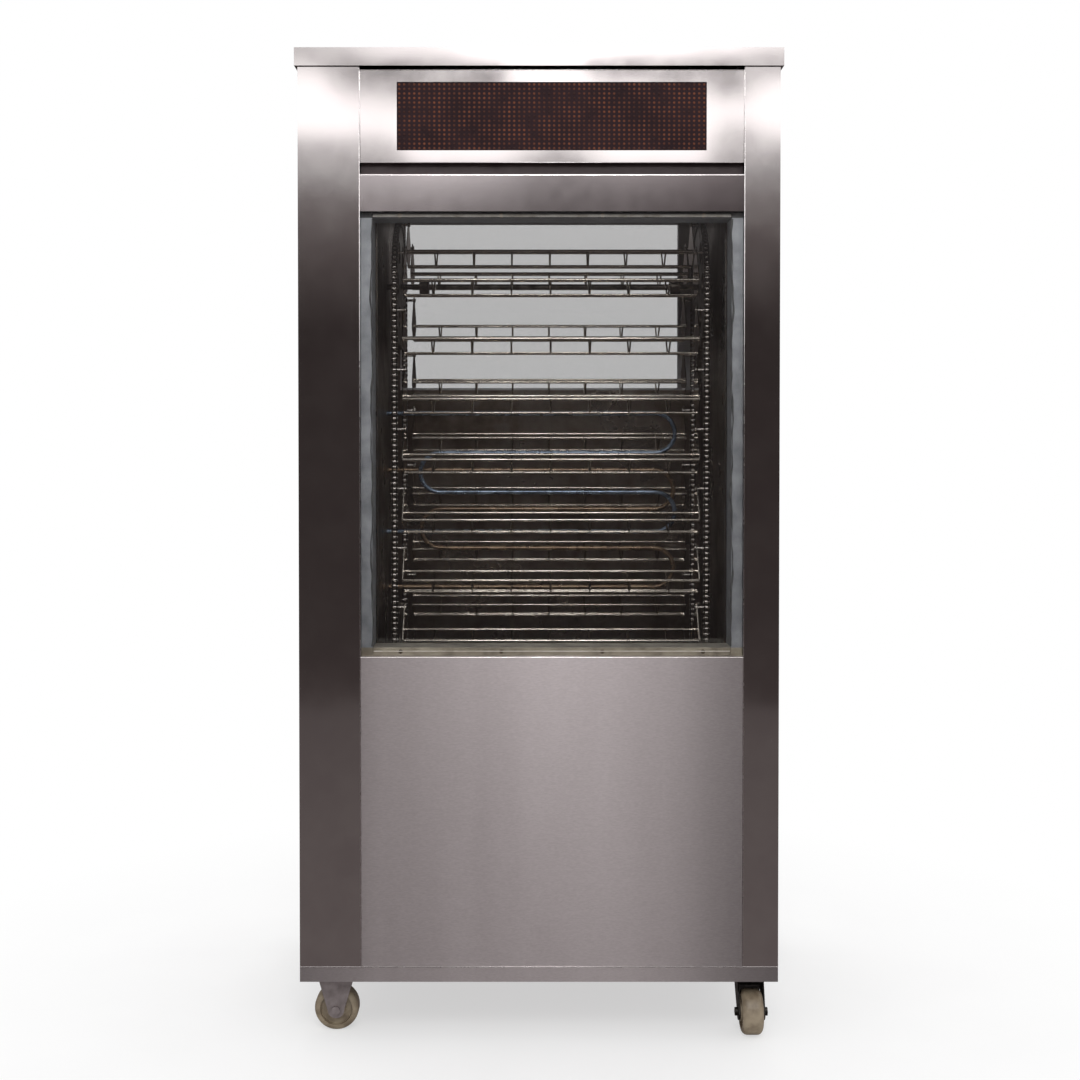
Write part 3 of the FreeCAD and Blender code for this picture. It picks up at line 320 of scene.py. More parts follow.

# %% [markdown]
# The lower panel, base, rear, control plate and drip tray are brushed stainless: an abrasive belt leaves fine
# scratches that run across the sheet. Scratches smear a highlight at right angles to themselves, so the
# highlight stands as a tall soft column. An anisotropic Principled shader does that smear, and a noise
# squeezed into thin lines draws the scratches. Real ones are about 0.1 mm apart; they are drawn at 1.4 mm so
# that they show at this distance. A painted shade darkens the sheet towards both sides, most towards the
# right.

# %% Brushed stainless steel
brushed_steel, tree, place = new_finish("stainless_steel_brushed_sheet")
SCRATCH_MM = 1.4
SCRATCH_LENGTH_MM = 6.0
BAND_MM = 110.0
BAND_LENGTH_MM = 1250.0
lines = add(tree, "Mapping", {"Vector": place, "Scale": (1000 / SCRATCH_LENGTH_MM, 1000 / SCRATCH_LENGTH_MM,
                                                         1000 / SCRATCH_MM)})
scratch = add(tree, "TexNoise", {"Vector": lines, "Scale": 1.0, "Detail": 3.0})
upright = add(tree, "Mapping", {"Vector": place, "Scale": (1000 / BAND_MM, 1000 / BAND_MM,
                                                           1000 / BAND_LENGTH_MM)})
band = add(tree, "TexNoise", {"Vector": upright, "Scale": 1.0, "Detail": 2.0})
both = add(tree, "Mix", {"Factor": 0.4, 2: scratch, 3: band}, data_type="FLOAT")
tint = add(tree, "ValToRGB", {"Fac": both}, ramp=[(0.3, linear("#b9b0b1")), (0.7, linear("#cdc4c5"))])
half_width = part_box("base_frame")[1].x
across = share_along(tree, place, "X", -half_width, half_width)
# Painted shade: the sheet darkens towards both sides, most towards the right.
painted_shade_sides = add(tree, "ValToRGB", {"Fac": across}, ramp=[
    (0.0, grey(0.8)), (0.13, grey(0.9)), (0.17, grey(1.0)), (0.76, grey(1.0)), (0.83, grey(0.87)),
    (0.9, grey(0.75)), (1.0, grey(0.6))])
tint = add(tree, "Mix", {"Factor": 1.0, 6: tint, 7: painted_shade_sides}, data_type="RGBA", blend_type="MULTIPLY").outputs[2]
rough = add(tree, "MapRange", {"Value": both, "From Min": 0.3, "From Max": 0.7,
                               "To Min": 0.40, "To Max": 0.46})
bump = add(tree, "Bump", {"Height": scratch, "Strength": 0.5, "Distance": 0.03 * MM})
along = add(tree, "Tangent", direction_type="RADIAL", axis="Z")
steel = add(tree, "BsdfPrincipled", {"Base Color": tint, "Metallic": 1.0, "Roughness": rough, "Normal": bump,
                                     "Anisotropic": 0.9, "Anisotropic Rotation": 0.25, "Tangent": along})
add(tree, "OutputMaterial", {"Surface": steel})
print(brushed_steel.name, "scratches drawn at", SCRATCH_MM, "mm")

# %% [markdown]
# The header rail sits between the vent slot and the window, and warm greasy air drifts over it. It is the
# same bright sheet with a thin patchy film, and a painted reflection makes it bright at the left end and
# darker and darker towards the right. The place across the front picks the tint.

# %% Header sheet with a film and a painted reflection
header_steel_painted_reflection, tree, place = new_finish("stainless_steel_satin_filmed_painted_reflection")
FILM_MM = 25.0
end_low, end_high = (v.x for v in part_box("header_rail"))
across = share_along(tree, place, "X", end_low, end_high)
film = add(tree, "TexNoise", {"Vector": place, "Scale": 1000 / FILM_MM, "Detail": 6.0})
# Painted reflection: bright at the left end, darker towards the right; the noise adds the film's patches.
film_and_painted_reflection = add(tree, "Math", {0: film, 1: 0.16, 2: across}, operation="MULTIPLY_ADD")
tint = add(tree, "ValToRGB", {"Fac": film_and_painted_reflection}, ramp=[(0.08, linear("#d8cfd0")), (0.55, linear("#9c9495")),
                                                    (1.0, linear("#817879"))])
rough = add(tree, "MapRange", {"Value": film, "From Min": 0.3, "From Max": 0.7,
                               "To Min": 0.12, "To Max": 0.16})
steel = add(tree, "BsdfPrincipled", {"Base Color": tint, "Metallic": 1.0, "Roughness": rough})
add(tree, "OutputMaterial", {"Surface": steel})
print(header_steel_painted_reflection.name, "from", round(end_low / MM), "to", round(end_high / MM), "mm")

# %% [markdown]
# The baking chamber is folded from bright stainless too, but baking has left a thin brown film of fat and
# sugar on it. A noise with much detail mixes the clean steel with the film, and the film is duller than the
# metal.

# %% Chamber steel with a baked film
chamber_steel, tree, place = new_finish("stainless_steel_baked_film")
BAKED_MM = 140.0
film = add(tree, "TexNoise", {"Vector": place, "Scale": 1000 / BAKED_MM, "Detail": 6.0, "Roughness": 0.6})
tint = add(tree, "ValToRGB", {"Fac": film}, ramp=[(0.35, linear("#594e45")), (0.5, linear("#7b7168")),
                                                  (0.68, linear("#979089"))])
rough = add(tree, "MapRange", {"Value": film, "From Min": 0.35, "From Max": 0.68,
                               "To Min": 0.42, "To Max": 0.22})
bump = add(tree, "Bump", {"Height": film, "Strength": 0.4, "Distance": 0.3 * MM})
steel = add(tree, "BsdfPrincipled", {"Base Color": tint, "Metallic": 1.0, "Roughness": rough, "Normal": bump})
add(tree, "OutputMaterial", {"Surface": steel})
print(chamber_steel.name, "film patches of", BAKED_MM, "mm")

# %% [markdown]
# A window pane can be made as real refracting glass, but a flat pane only shifts the view by a hair, and
# refraction makes the inside noisy. Here each face of the pane mixes a clear shader with a faint mirror. The
# share of mirror is 4% straight on and grows towards a glancing view, as it does on glass of IOR 1.5.

# %% Window glass
WIPE_MM = 120.0


def pane_finish(name, tint):
    """Clear glass for a thin pane; tint is what one face lets through."""
    material, tree, place = new_finish(name)
    facing = add(tree, "LayerWeight", {"Blend": 0.5}).outputs["Facing"]
    steep = add(tree, "Math", {0: facing, 1: 5.0}, operation="POWER")
    share = add(tree, "Math", {0: steep, 1: 0.96, 2: 0.04}, operation="MULTIPLY_ADD")
    wipe = add(tree, "TexNoise", {"Vector": place, "Scale": 1000 / WIPE_MM, "Detail": 5.0})
    rough = add(tree, "MapRange", {"Value": wipe, "From Min": 0.4, "From Max": 0.75,
                                   "To Min": 0.01, "To Max": 0.06})
    clear = add(tree, "BsdfTransparent", {"Color": linear(tint)})
    mirror = add(tree, "BsdfPrincipled", {"Base Color": linear("#f6f6f6"), "Metallic": 1.0,
                                          "Roughness": rough})
    mix = add(tree, "MixShader", {"Fac": share, 1: clear, 2: mirror})
    add(tree, "OutputMaterial", {"Surface": mix})
    return material


front_pane = pane_finish("toughened_float_glass_clear", "#fdfdfd")
door_pane = pane_finish("toughened_float_glass_grey", "#e4e4e4")
print(front_pane.name, "and", door_pane.name)

# %% [markdown]
# The glazing strips are extruded aluminium left as it came from the die, gone blue-grey with age. Along the
# sill, below the panes, baked-on fat has turned the same metal beige, and the strip under the header is
# darkened with painted shade. The height of each point picks between the three.

# %% Aged aluminium glazing strips, with painted shade under the header
aged_aluminium_painted_shade, tree, place = new_finish("aluminium_extruded_aged_painted_shade")
BLOTCH_MM = 25.0
SILL_TALL = 14.5 * MM
HEAD_TALL = 9.2 * MM
glazing_low, glazing_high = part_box("glazing_frame")
sill_top = glazing_low.z + SILL_TALL
head_bottom = glazing_high.z - HEAD_TALL
blotch = add(tree, "TexNoise", {"Vector": place, "Scale": 1000 / BLOTCH_MM, "Detail": 5.0})
on_sill = share_along(tree, place, "Z", sill_top, sill_top - 1.5 * MM)
head_painted_shade = share_along(tree, place, "Z", head_bottom, head_bottom + 0.5 * MM)
cool = add(tree, "ValToRGB", {"Fac": blotch}, ramp=[(0.3, linear("#85888c")), (0.7, linear("#a6a8ac"))])
beige = add(tree, "ValToRGB", {"Fac": blotch}, ramp=[(0.3, linear("#8d8576")), (0.5, linear("#b3aa98")),
                                                     (0.75, linear("#c9c1ae"))])
tint = add(tree, "Mix", {"Factor": on_sill, 6: cool, 7: beige}, data_type="RGBA").outputs[2]
# Painted shade: the strip under the header rail is darkened.
tint = add(tree, "Mix", {"Factor": head_painted_shade, 6: tint, 7: linear("#4b4a4b")}, data_type="RGBA").outputs[2]
rough = add(tree, "MapRange", {"Value": blotch, "To Min": 0.35, "To Max": 0.6})
metal = add(tree, "BsdfPrincipled", {"Base Color": tint, "Metallic": 0.6, "Roughness": rough})
add(tree, "OutputMaterial", {"Surface": metal})
print(aged_aluminium_painted_shade.name, "sill top at", round(sill_top / MM, 1), "mm")

# %% [markdown]
# The heaters are tubes of heat-proof steel. Running red hot has left temper colours on them: blue-grey on the
# front coil, brown on the rear one. The place from front to rear picks the colour and a noise breaks it up.

# %% Tempered heater tube
heater_tube, tree, place = new_finish("heater_steel_tempered")
TEMPER_MM = 30.0
COIL_INSET = 6.0 * MM
scale_noise = add(tree, "TexNoise", {"Vector": place, "Scale": 1000 / TEMPER_MM, "Detail": 6.0})
coil_low, coil_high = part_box("heating_elements")
coil = share_along(tree, place, "Y", coil_low.y + COIL_INSET, coil_high.y - COIL_INSET)
blue = add(tree, "ValToRGB", {"Fac": scale_noise}, ramp=[(0.3, linear("#4d5a6b")), (0.7, linear("#93a1b3"))])
brown = add(tree, "ValToRGB", {"Fac": scale_noise}, ramp=[(0.3, linear("#6a5340")), (0.7, linear("#a0876a"))])
tint = add(tree, "Mix", {"Factor": coil, 6: blue, 7: brown}, data_type="RGBA").outputs[2]
rough = add(tree, "MapRange", {"Value": scale_noise, "To Min": 0.15, "To Max": 0.4})
metal = add(tree, "BsdfPrincipled", {"Base Color": tint, "Metallic": 0.75, "Roughness": rough})
add(tree, "OutputMaterial", {"Surface": metal})
print(heater_tube.name, "temper patches of", TEMPER_MM, "mm")

# %% [markdown]
# The other metals differ mostly in colour, in roughness and in the size of their surface pattern, so one
# recipe makes them all: a noise of the right size moves the colour and the roughness between two values and
# lifts a small bump. Each call names the metal and how its surface was made.

# %% Wire, chain, castings and fittings
def mottled_metal(name, dark, light, rough_low, rough_high, pattern_mm, bump_mm, metallic=1.0):
    """A metal whose colour, roughness and surface follow one noise of that size."""
    material, tree, place = new_finish(name)
    mottle = add(tree, "TexNoise", {"Vector": place, "Scale": 1000 / pattern_mm, "Detail": 5.0})
    tint = add(tree, "ValToRGB", {"Fac": mottle}, ramp=[(0.3, linear(dark)), (0.7, linear(light))])
    rough = add(tree, "MapRange", {"Value": mottle, "From Min": 0.3, "From Max": 0.7,
                                   "To Min": rough_high, "To Max": rough_low})
    bump = add(tree, "Bump", {"Height": mottle, "Strength": 0.5, "Distance": bump_mm * MM})
    metal = add(tree, "BsdfPrincipled", {"Base Color": tint, "Metallic": metallic, "Roughness": rough,
                                         "Normal": bump})
    add(tree, "OutputMaterial", {"Surface": metal})
    return material


# Drawn and polished wire: bright lines with small dull baked spots.
basket_wire = mottled_metal("stainless_wire_polished", "#a89f94", "#c9c2b8", 0.08, 0.12, 60.0, 0.001)
# Stamped plates, dark with oil and soot, which leave the rollers to shine.
chain_plate = mottled_metal("chain_plate_oiled_steel", "#2b2622", "#4a433c", 0.38, 0.55, 6.0, 0.05)
# Rollers are turned, hardened and rubbed bright by the sprockets.
chain_roller = mottled_metal("chain_roller_worn_bright", "#a9a29a", "#e6e0da", 0.18, 0.32, 8.0, 0.03)
# Flame-cut carbon steel with oil on it.
sprocket_plate = mottled_metal("sprocket_steel_oiled", "#4b4540", "#7a736c", 0.3, 0.45, 20.0, 0.06)
# Sand-cast iron: dark and grainy.
cast_iron = mottled_metal("cast_iron_sand_cast", "#2f2d2c", "#474442", 0.5, 0.7, 3.0, 0.25, 0.7)
# Zinc-plated pressed steel: pale grey with a cloudy bloom.
zinc_plate = mottled_metal("zinc_plated_pressed_steel", "#8d8f92", "#b9bbbe", 0.32, 0.48, 12.0, 0.05)
# The rigid casters' pressed forks: plating gone dull and a little pink with rust dust.
rigid_fork = mottled_metal("zinc_plated_steel_dull", "#857b7b", "#a19797", 0.4, 0.55, 14.0, 0.05, 0.45)
# Screws, browned by baked fat.
screw_steel = mottled_metal("screw_steel_browned", "#57493d", "#8a7c6b", 0.3, 0.45, 4.0, 0.05, 0.8)
# Swivel forks: the same plating darkened as painted shade, as they stand in shadow; hoods and screw recesses
# take it too.
plating_painted_shade = mottled_metal("zinc_plated_steel_painted_shade", "#2a2928", "#55524f", 0.4, 0.6, 10.0, 0.1)
# Extruded and anodised aluminium for the rear door: an even satin.
door_frame = mottled_metal("aluminium_anodised_satin", "#b3b3b4", "#c8c8c9", 0.32, 0.4, 40.0, 0.02)
metals = (basket_wire, chain_plate, chain_roller, sprocket_plate, cast_iron, zinc_plate, rigid_fork,
          screw_steel, plating_painted_shade, door_frame)
print("metals:", [metal.name for metal in metals])

# %% [markdown]
# Plastics reflect a little white light over their own colour, and moulding gives them a fine even texture.
# The wheels are cast nylon, cream coloured and slightly waxy, with dirt in the tread. The display has a
# tinted front sheet with a dull surface, so that lamps don't mirror in it.

# %% Plastics
def moulded_plastic(name, dark, light, roughness, texture_mm, bump_mm, patch_mm, specular=0.5):
    """A plastic with a fine moulded texture and slow colour patches."""
    material, tree, place = new_finish(name)
    patch = add(tree, "TexNoise", {"Vector": place, "Scale": 1000 / patch_mm, "Detail": 4.0})
    fine = add(tree, "TexNoise", {"Vector": place, "Scale": 1000 / texture_mm, "Detail": 2.0})
    tint = add(tree, "ValToRGB", {"Fac": patch}, ramp=[(0.35, linear(dark)), (0.65, linear(light))])
    rough = add(tree, "MapRange", {"Value": patch, "To Min": roughness - 0.08, "To Max": roughness + 0.08})
    bump = add(tree, "Bump", {"Height": fine, "Strength": 0.5, "Distance": bump_mm * MM})
    plastic = add(tree, "BsdfPrincipled", {"Base Color": tint, "IOR": 1.5, "Roughness": rough, "Normal": bump,
                                           "Specular IOR Level": specular})
    add(tree, "OutputMaterial", {"Surface": plastic})
    return material


# Cast nylon: cream, a little waxy, with dirt rubbed in.
wheel_nylon = moulded_plastic("nylon_cast_cream", "#786a58", "#988a75", 0.42, 1.2, 0.05, 18.0)
# Black ABS: a fine even grain that dulls its shine.
dark_abs = moulded_plastic("abs_moulded_black", "#1d1d1f", "#2a2a2c", 0.45, 0.8, 0.04, 30.0)
# Smoked acrylic: nearly black, with a warm tint.
display_sheet = moulded_plastic("acrylic_tinted_display_sheet", "#281a1d", "#2f2023", 0.6, 1.0, 0.03, 60.0,
                                specular=0.08)
# Unlit lamps: dull amber, some a little brighter than others.
led_lens = moulded_plastic("epoxy_lens_amber_unlit", "#35211f", "#74432f", 0.45, 1.5, 0.02, 30.0, 0.12)
# Pale and matt, for thin bright lines: painted highlights along the pane edges, and the knob's pointer print.
pale_highlight_and_print = moulded_plastic("pale_matt_painted_highlight_and_print", "#c3bbae", "#e9e4db", 0.3, 1.0, 0.01, 15.0)
# Silicone: dark, soft and lumpy where a finger smoothed it.
sealant = moulded_plastic("silicone_sealant_dark", "#2c2c2d", "#4a4a49", 0.5, 3.0, 0.3, 12.0)
print("plastics:", [m.name for m in (wheel_nylon, dark_abs, display_sheet, led_lens, pale_highlight_and_print, sealant)])

# %% [markdown]
# Each CAD node keeps its shape and takes its finish through its material slot. One table says which finish
# goes where, so it is easy to see that every node has one.

# %% Put the finishes on the CAD nodes
finish_of = {
    polished_steel: ["left_side_panel", "right_side_panel", "display_fascia", "top_cap"],
    header_steel_painted_reflection: ["header_rail"],
    brushed_steel: ["lower_front_panel", "base_frame", "rear_panel", "control_panel", "drip_tray"],
    chamber_steel: ["chamber_walls", "chamber_floor", "chamber_rear_wall"],
    front_pane: ["front_glass"],
    door_pane: ["rear_door_glass"],
    aged_aluminium_painted_shade: ["glazing_frame"],
    heater_tube: ["heating_elements"],
    cast_iron: ["shaft_bearings", "gear_motor"],
    zinc_plate: ["door_hinges"],
    rigid_fork: ["caster_mounts"],
    screw_steel: ["fasteners"],
    # The swivel forks take the darker plating: painted shade.
    plating_painted_shade: ["swivel_fork_front", "swivel_fork_rear"],
    door_frame: ["rear_door", "rear_door_handle"],
    sprocket_plate: ["top_sprocket_shaft", "bottom_sprocket_shaft"],
    chain_plate: ["front_chain_run", "rear_chain_run", "top_chain_wrap", "bottom_chain_wrap"],
    display_sheet: ["display_module"],
    dark_abs: ["cable_gland", "temperature_knob", "heat_switch"],
    wheel_nylon: ["front_left_wheel", "front_right_wheel", "rear_left_wheel", "rear_right_wheel"],
    basket_wire: [name for name in nodes if name.startswith("basket_")],
}
dressed = set()
for finish, names in finish_of.items():
    for name in names:
        for material_slot in nodes[name].material_slots:
            material_slot.material = finish
        dressed.add(name)
print("dressed", len(dressed), "of", len(nodes), "nodes; left:", sorted(set(nodes) - dressed))

# %% [markdown]
# Pieces that are too fine for the CAD model are built point by point with bmesh. A few helpers are enough for
# all of them: one that lathes a profile round an axis, one that turns a flat outline into a plate, and one
# that turns the finished bmesh into an object that rides on a body of the oven.

# %% Mesh helpers
def lathe(bm, base, axis, profile, sides, material_index=0):
    """Turns (distance along the axis, radius) pairs into a round piece about an axis from a base point."""
    axis = Vector(axis).normalized()
    across = axis.orthogonal().normalized()
    up = axis.cross(across)
    rings = []
    for along, radius in profile:
        centre = Vector(base) + axis * along
        if radius == 0:
            rings.append([bm.verts.new(centre)])
        else:
            turns = [2 * math.pi * k / sides for k in range(sides)]
            spokes = [across * math.cos(turn) + up * math.sin(turn) for turn in turns]
            rings.append([bm.verts.new(centre + spoke * radius) for spoke in spokes])
    for low, high in zip(rings[:-1], rings[1:]):
        for k in range(sides):
            following = k + 1
            corners = [low[k % len(low)], low[following % len(low)],
                       high[following % len(high)], high[k % len(high)]]
            face = bm.faces.new(list(dict.fromkeys(corners)))
            face.material_index = material_index
            face.smooth = True


def plate(bm, outline, thickness, material_index=0):
    """Extrudes a closed outline along the vector thickness."""
    near = [bm.verts.new(p) for p in outline]
    far = [bm.verts.new(Vector(p) + Vector(thickness)) for p in outline]
    faces = [bm.faces.new(near), bm.faces.new(far[::-1])]
    for k in range(len(near)):
        following = (k + 1) % len(near)
        faces.append(bm.faces.new((near[k], far[k], far[following], near[following])))
    for face in faces:
        face.material_index = material_index


def finish_piece(bm, name, body, slot, *materials, smooth_angle=40):
    """Makes the mesh a piece of the oven that rides on a body and takes the given materials; slot is not used.
    """
    bmesh.ops.recalc_face_normals(bm, faces=bm.faces)
    mesh = bpy.data.meshes.new(name)
    bm.to_mesh(mesh)
    bm.free()
    for material in materials:
        mesh.materials.append(material)
    mesh.shade_smooth()
    mesh.set_sharp_from_angle(angle=math.radians(smooth_angle))
    piece = bpy.data.objects.new(name, mesh)
    bpy.context.scene.collection.objects.link(piece)
    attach(piece, body)
    print(name, "on", body, "faces", len(mesh.polygons))
    return piece


# %% [markdown]
# The carousel hangs on two roller chains. From the front a chain shows edge on: a ladder of bright rollers
# between two rows of dark plates. The CAD model has each row of plates as one strip, so the links are built
# here, with waisted inner and outer plates by turns, a roller at each pitch and riveted pins. The pin that
# carries a basket reaches inwards and ends in a head.

# %% Chain sizes
PITCH = 9.525 * MM
ROLLER_RADIUS = 3.175 * MM
ROLLER_HALF = 2.85 * MM
PLATE_HALF = 4.1 * MM
PLATE_THICK = 1.0 * MM
PLATE_GAP = 0.05 * MM
PIN_RADIUS = 1.65 * MM
PIN_PROUD = 0.7 * MM
PIN_ROUND = 0.3 * MM
CHAMFER = 0.4 * MM
HANGER_RADIUS = 2.5 * MM
HANGER_HEAD = 4.0 * MM
HANGER_HEAD_LONG = 2.0 * MM
HANGER_INSET = 4.0 * MM
HANGER_PAST_CHAIN = 5.6 * MM
EYE_RADIUS = 8.0 * MM
CHAIN_INSET = 4.55 * MM
run_low, run_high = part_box("front_chain_run")
rear_low, rear_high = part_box("rear_chain_run")
bay_middle = (run_low.x + run_high.x) / 2
chain_offset = run_high.x - bay_middle - CHAIN_INSET
pin_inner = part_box("basket_front_1")[1].x - bay_middle - HANGER_INSET
front_y = (run_low.y + run_high.y) / 2
rear_y = (rear_low.y + rear_high.y) / 2
carousel_y = (front_y + rear_y) / 2
pitch_radius = (rear_y - front_y) / 2
run_top = run_high.z - PLATE_HALF
run_pitches = round((run_high.z - run_low.z - 2 * PLATE_HALF) / PITCH) + 1
wrap_pitches = round(math.pi * pitch_radius / PITCH)
top_shaft = run_top + PITCH / 2
bottom_shaft = top_shaft - run_pitches * PITCH
print("pitches on a run:", run_pitches, "and round a sprocket:", wrap_pitches, "shafts at z",
      round(top_shaft / MM, 2), round(bottom_shaft / MM, 2))


# %% Links, rollers and hanger pins
def link_outline(x, start, end):
    """A waisted link plate from one pin to the next, in the plane x."""
    start, end = Vector(start), Vector(end)
    along = (end - start).normalized()
    across = Vector((0, -along.z, along.y))
    points = []
    for centre, ahead in ((end, along), (start, -along)):
        side = across if ahead == along else -across
        for k in range(7):
            turn = math.radians(-90 + 30 * k)
            points.append(centre + (ahead * math.cos(turn) + side * math.sin(turn)) * PLATE_HALF)
        points.append((start + end) / 2 + side * (PLATE_HALF * 0.68))
    return [Vector((x, p.y, p.z)) for p in points]


def roller_chain(name, body, node, places, hanger_places):
    """Both chains along a row of pin places, each with rollers, plates and the pins that carry baskets."""
    bm = bmesh.new()
    for side in (-1, 1):
        plane = bay_middle + side * chain_offset
        for k, (y, z) in enumerate(places):
            lathe(bm, (plane - ROLLER_HALF, y, z), (1, 0, 0), [
                (0, PIN_RADIUS), (0, ROLLER_RADIUS - CHAMFER), (CHAMFER, ROLLER_RADIUS),
                (2 * ROLLER_HALF - CHAMFER, ROLLER_RADIUS), (2 * ROLLER_HALF, ROLLER_RADIUS - CHAMFER),
                (2 * ROLLER_HALF, PIN_RADIUS)], 12, 1)
            pin_half = ROLLER_HALF + 2 * PLATE_THICK + 2 * PLATE_GAP + PIN_PROUD
            lathe(bm, (plane - pin_half, y, z), (1, 0, 0), [
                (0, 0), (0, PIN_RADIUS * 0.8), (PIN_ROUND, PIN_RADIUS), (2 * pin_half - PIN_ROUND, PIN_RADIUS),
                (2 * pin_half, PIN_RADIUS * 0.8), (2 * pin_half, 0)], 8, 1)
            if k + 1 < len(places):
                step = PLATE_THICK + PLATE_GAP if k % 2 else 0.0
                inner = ROLLER_HALF + PLATE_GAP + step
                start = (0, y, z)
                end = (0, places[k + 1][0], places[k + 1][1])
                plate(bm, link_outline(plane + inner, start, end), (PLATE_THICK, 0, 0))
                plate(bm, link_outline(plane - inner, start, end), (-PLATE_THICK, 0, 0))
        for y, z in hanger_places:
            tip = bay_middle + side * pin_inner
            reach = chain_offset - pin_inner + HANGER_PAST_CHAIN
            lathe(bm, (tip, y, z), (side, 0, 0), [
                (0, 0), (0, HANGER_HEAD - 0.6 * MM), (0.6 * MM, HANGER_HEAD),
                (HANGER_HEAD_LONG - CHAMFER, HANGER_HEAD), (HANGER_HEAD_LONG, HANGER_HEAD - CHAMFER),
                (HANGER_HEAD_LONG, HANGER_RADIUS), (reach - CHAMFER, HANGER_RADIUS),
                (reach, HANGER_RADIUS - 0.5 * MM), (reach, 0)], 16, 1)
    piece = finish_piece(bm, name, body, "chain_steel", chain_plate, chain_roller)
    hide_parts(node)


def wrap_place(height, pitches, side):
    """A point on a sprocket's pitch circle, some pitches from the front run; side is 1 above and -1 below."""
    angle = math.pi * pitches / wrap_pitches
    return (carousel_y - pitch_radius * math.cos(angle), height + side * pitch_radius * math.sin(angle))


def hangers(run):
    """The hanger pins' places on one stretch, from the eyes of the baskets that hang there."""
    boxes = [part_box(name) for name in nodes if name.startswith("basket_" + run)]
    return [((low.y + high.y) / 2, high.z - EYE_RADIUS) for low, high in boxes]


run_heights = [run_top - k * PITCH for k in range(run_pitches)]
wrap_steps = [k + 0.5 for k in range(wrap_pitches)]
roller_chain("front_run_links", "front_run", "front_chain_run",
             [(front_y, z) for z in run_heights], hangers("front"))
roller_chain("rear_run_links", "rear_run", "rear_chain_run",
             [(rear_y, z) for z in run_heights], hangers("rear"))
roller_chain("top_wrap_links", "idler_shaft", "top_chain_wrap",
             [wrap_place(top_shaft, step, 1) for step in wrap_steps], hangers("top"))
roller_chain("bottom_wrap_links", "drive_shaft", "bottom_chain_wrap",
             [wrap_place(bottom_shaft, step, -1) for step in wrap_steps], hangers("bottom"))

# %% [markdown]
# The display is a matrix of small round lamps behind the fascia's window. Unlit, they are dull amber beads on
# a dark board. Each bead is a low lathed dome; the board carries 62 across and 15 down.

# %% Display beads
COLUMNS = 62
ROWS = 15
BEAD_RADIUS = 2.1 * MM
BEAD_SUNK = 0.05 * MM
BOARD_BORDER = 4.0 * MM
border = Vector((BOARD_BORDER, 0, BOARD_BORDER))
board_low, board_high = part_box("display_module")
window_low, window_high = board_low + border, board_high - border
print("display window", [round(v / MM, 2) for v in window_high - window_low], "mm")
dome = [(0, BEAD_RADIUS), (0.5 * MM, BEAD_RADIUS * 0.92), (0.95 * MM, BEAD_RADIUS * 0.6), (1.15 * MM, 0)]
bm = bmesh.new()
for column in range(COLUMNS):
    for row in range(ROWS):
        x = window_low.x + (column + 0.5) * (window_high.x - window_low.x) / COLUMNS
        z = window_low.z + (row + 0.5) * (window_high.z - window_low.z) / ROWS
        lathe(bm, (x, board_low.y + BEAD_SUNK, z), (0, -1, 0), dome, 10)
finish_piece(bm, "display_beads", "cabinet", "display_face", led_lens)

# %% [markdown]
# Inside the outer pane a bead of dark sealant runs down each glazing strip. It was squeezed out by hand, so
# its line wanders and its width swells. A tube with a flattened section follows a line made of a few slow
# waves.

# %% Sealant beads
SEALANT_FOOT = 661.0 * MM
SEALANT_TOP = 1375.0 * MM
SEALANT_LINES = ((-279.5, 0), (322.5, 330))
SEALANT_STEPS = 150
SEALANT_CORNERS = 8
SEALANT_HALF = 0.6 * MM


def sealant_bead(bm, x, y, phase):
    """A hand-laid bead up one side of the window, whose line and width wander."""
    rings = []
    for k in range(SEALANT_STEPS + 1):
        z = SEALANT_FOOT + (SEALANT_TOP - SEALANT_FOOT) * k / SEALANT_STEPS
        t = (z / MM + phase) / 100.0
        drift = 1.1 * math.sin(2.9 * t) + 0.7 * math.sin(7.3 * t + 1.3) + 0.4 * math.sin(17.1 * t)
        half = 1.2 + 0.45 * math.sin(4.1 * t + 0.7) + 0.25 * math.sin(12.7 * t)
        ring = []
        for corner in range(SEALANT_CORNERS):
            turn = 2 * math.pi * corner / SEALANT_CORNERS
            ring.append(bm.verts.new((x + (drift + half * math.cos(turn)) * MM,
                                      y + SEALANT_HALF * math.sin(turn), z)))
        rings.append(ring)
    for low, high in zip(rings[:-1], rings[1:]):
        for corner in range(SEALANT_CORNERS):
            following = (corner + 1) % SEALANT_CORNERS
            bm.faces.new((low[corner], low[following], high[following], high[corner]))
    bm.faces.new(rings[0][::-1])
    bm.faces.new(rings[-1])


bm = bmesh.new()
for x, phase in SEALANT_LINES:
    sealant_bead(bm, x * MM, glazing_low.y - SEALANT_HALF / 2, phase)
finish_piece(bm, "sealant_beads", "cabinet", "dark_plastic", sealant, smooth_angle=80)

# %% [markdown]
# Between the fascia and the header rail is a narrow slot that lets warm air out. A plain folded strip stands
# behind it, so one looks at dull metal darkened with painted shade and not into the cabinet. Its lower lip
# leans forward.

# %% Strip behind the vent slot
STRIP_FACE = -255.5
STRIP_SHEET = 1.2
# Dull rolled strip, its tint darkened as painted shade for the slot's recess: it only gives back a dim grey.
slot_back_painted_shade = mottled_metal("stainless_strip_dull_painted_shade", "#6a6162", "#857c7d", 0.3, 0.42, 40.0, 0.02)
rail_low, rail_high = (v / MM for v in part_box("header_rail"))
fascia_low, fascia_high = (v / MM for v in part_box("display_fascia"))
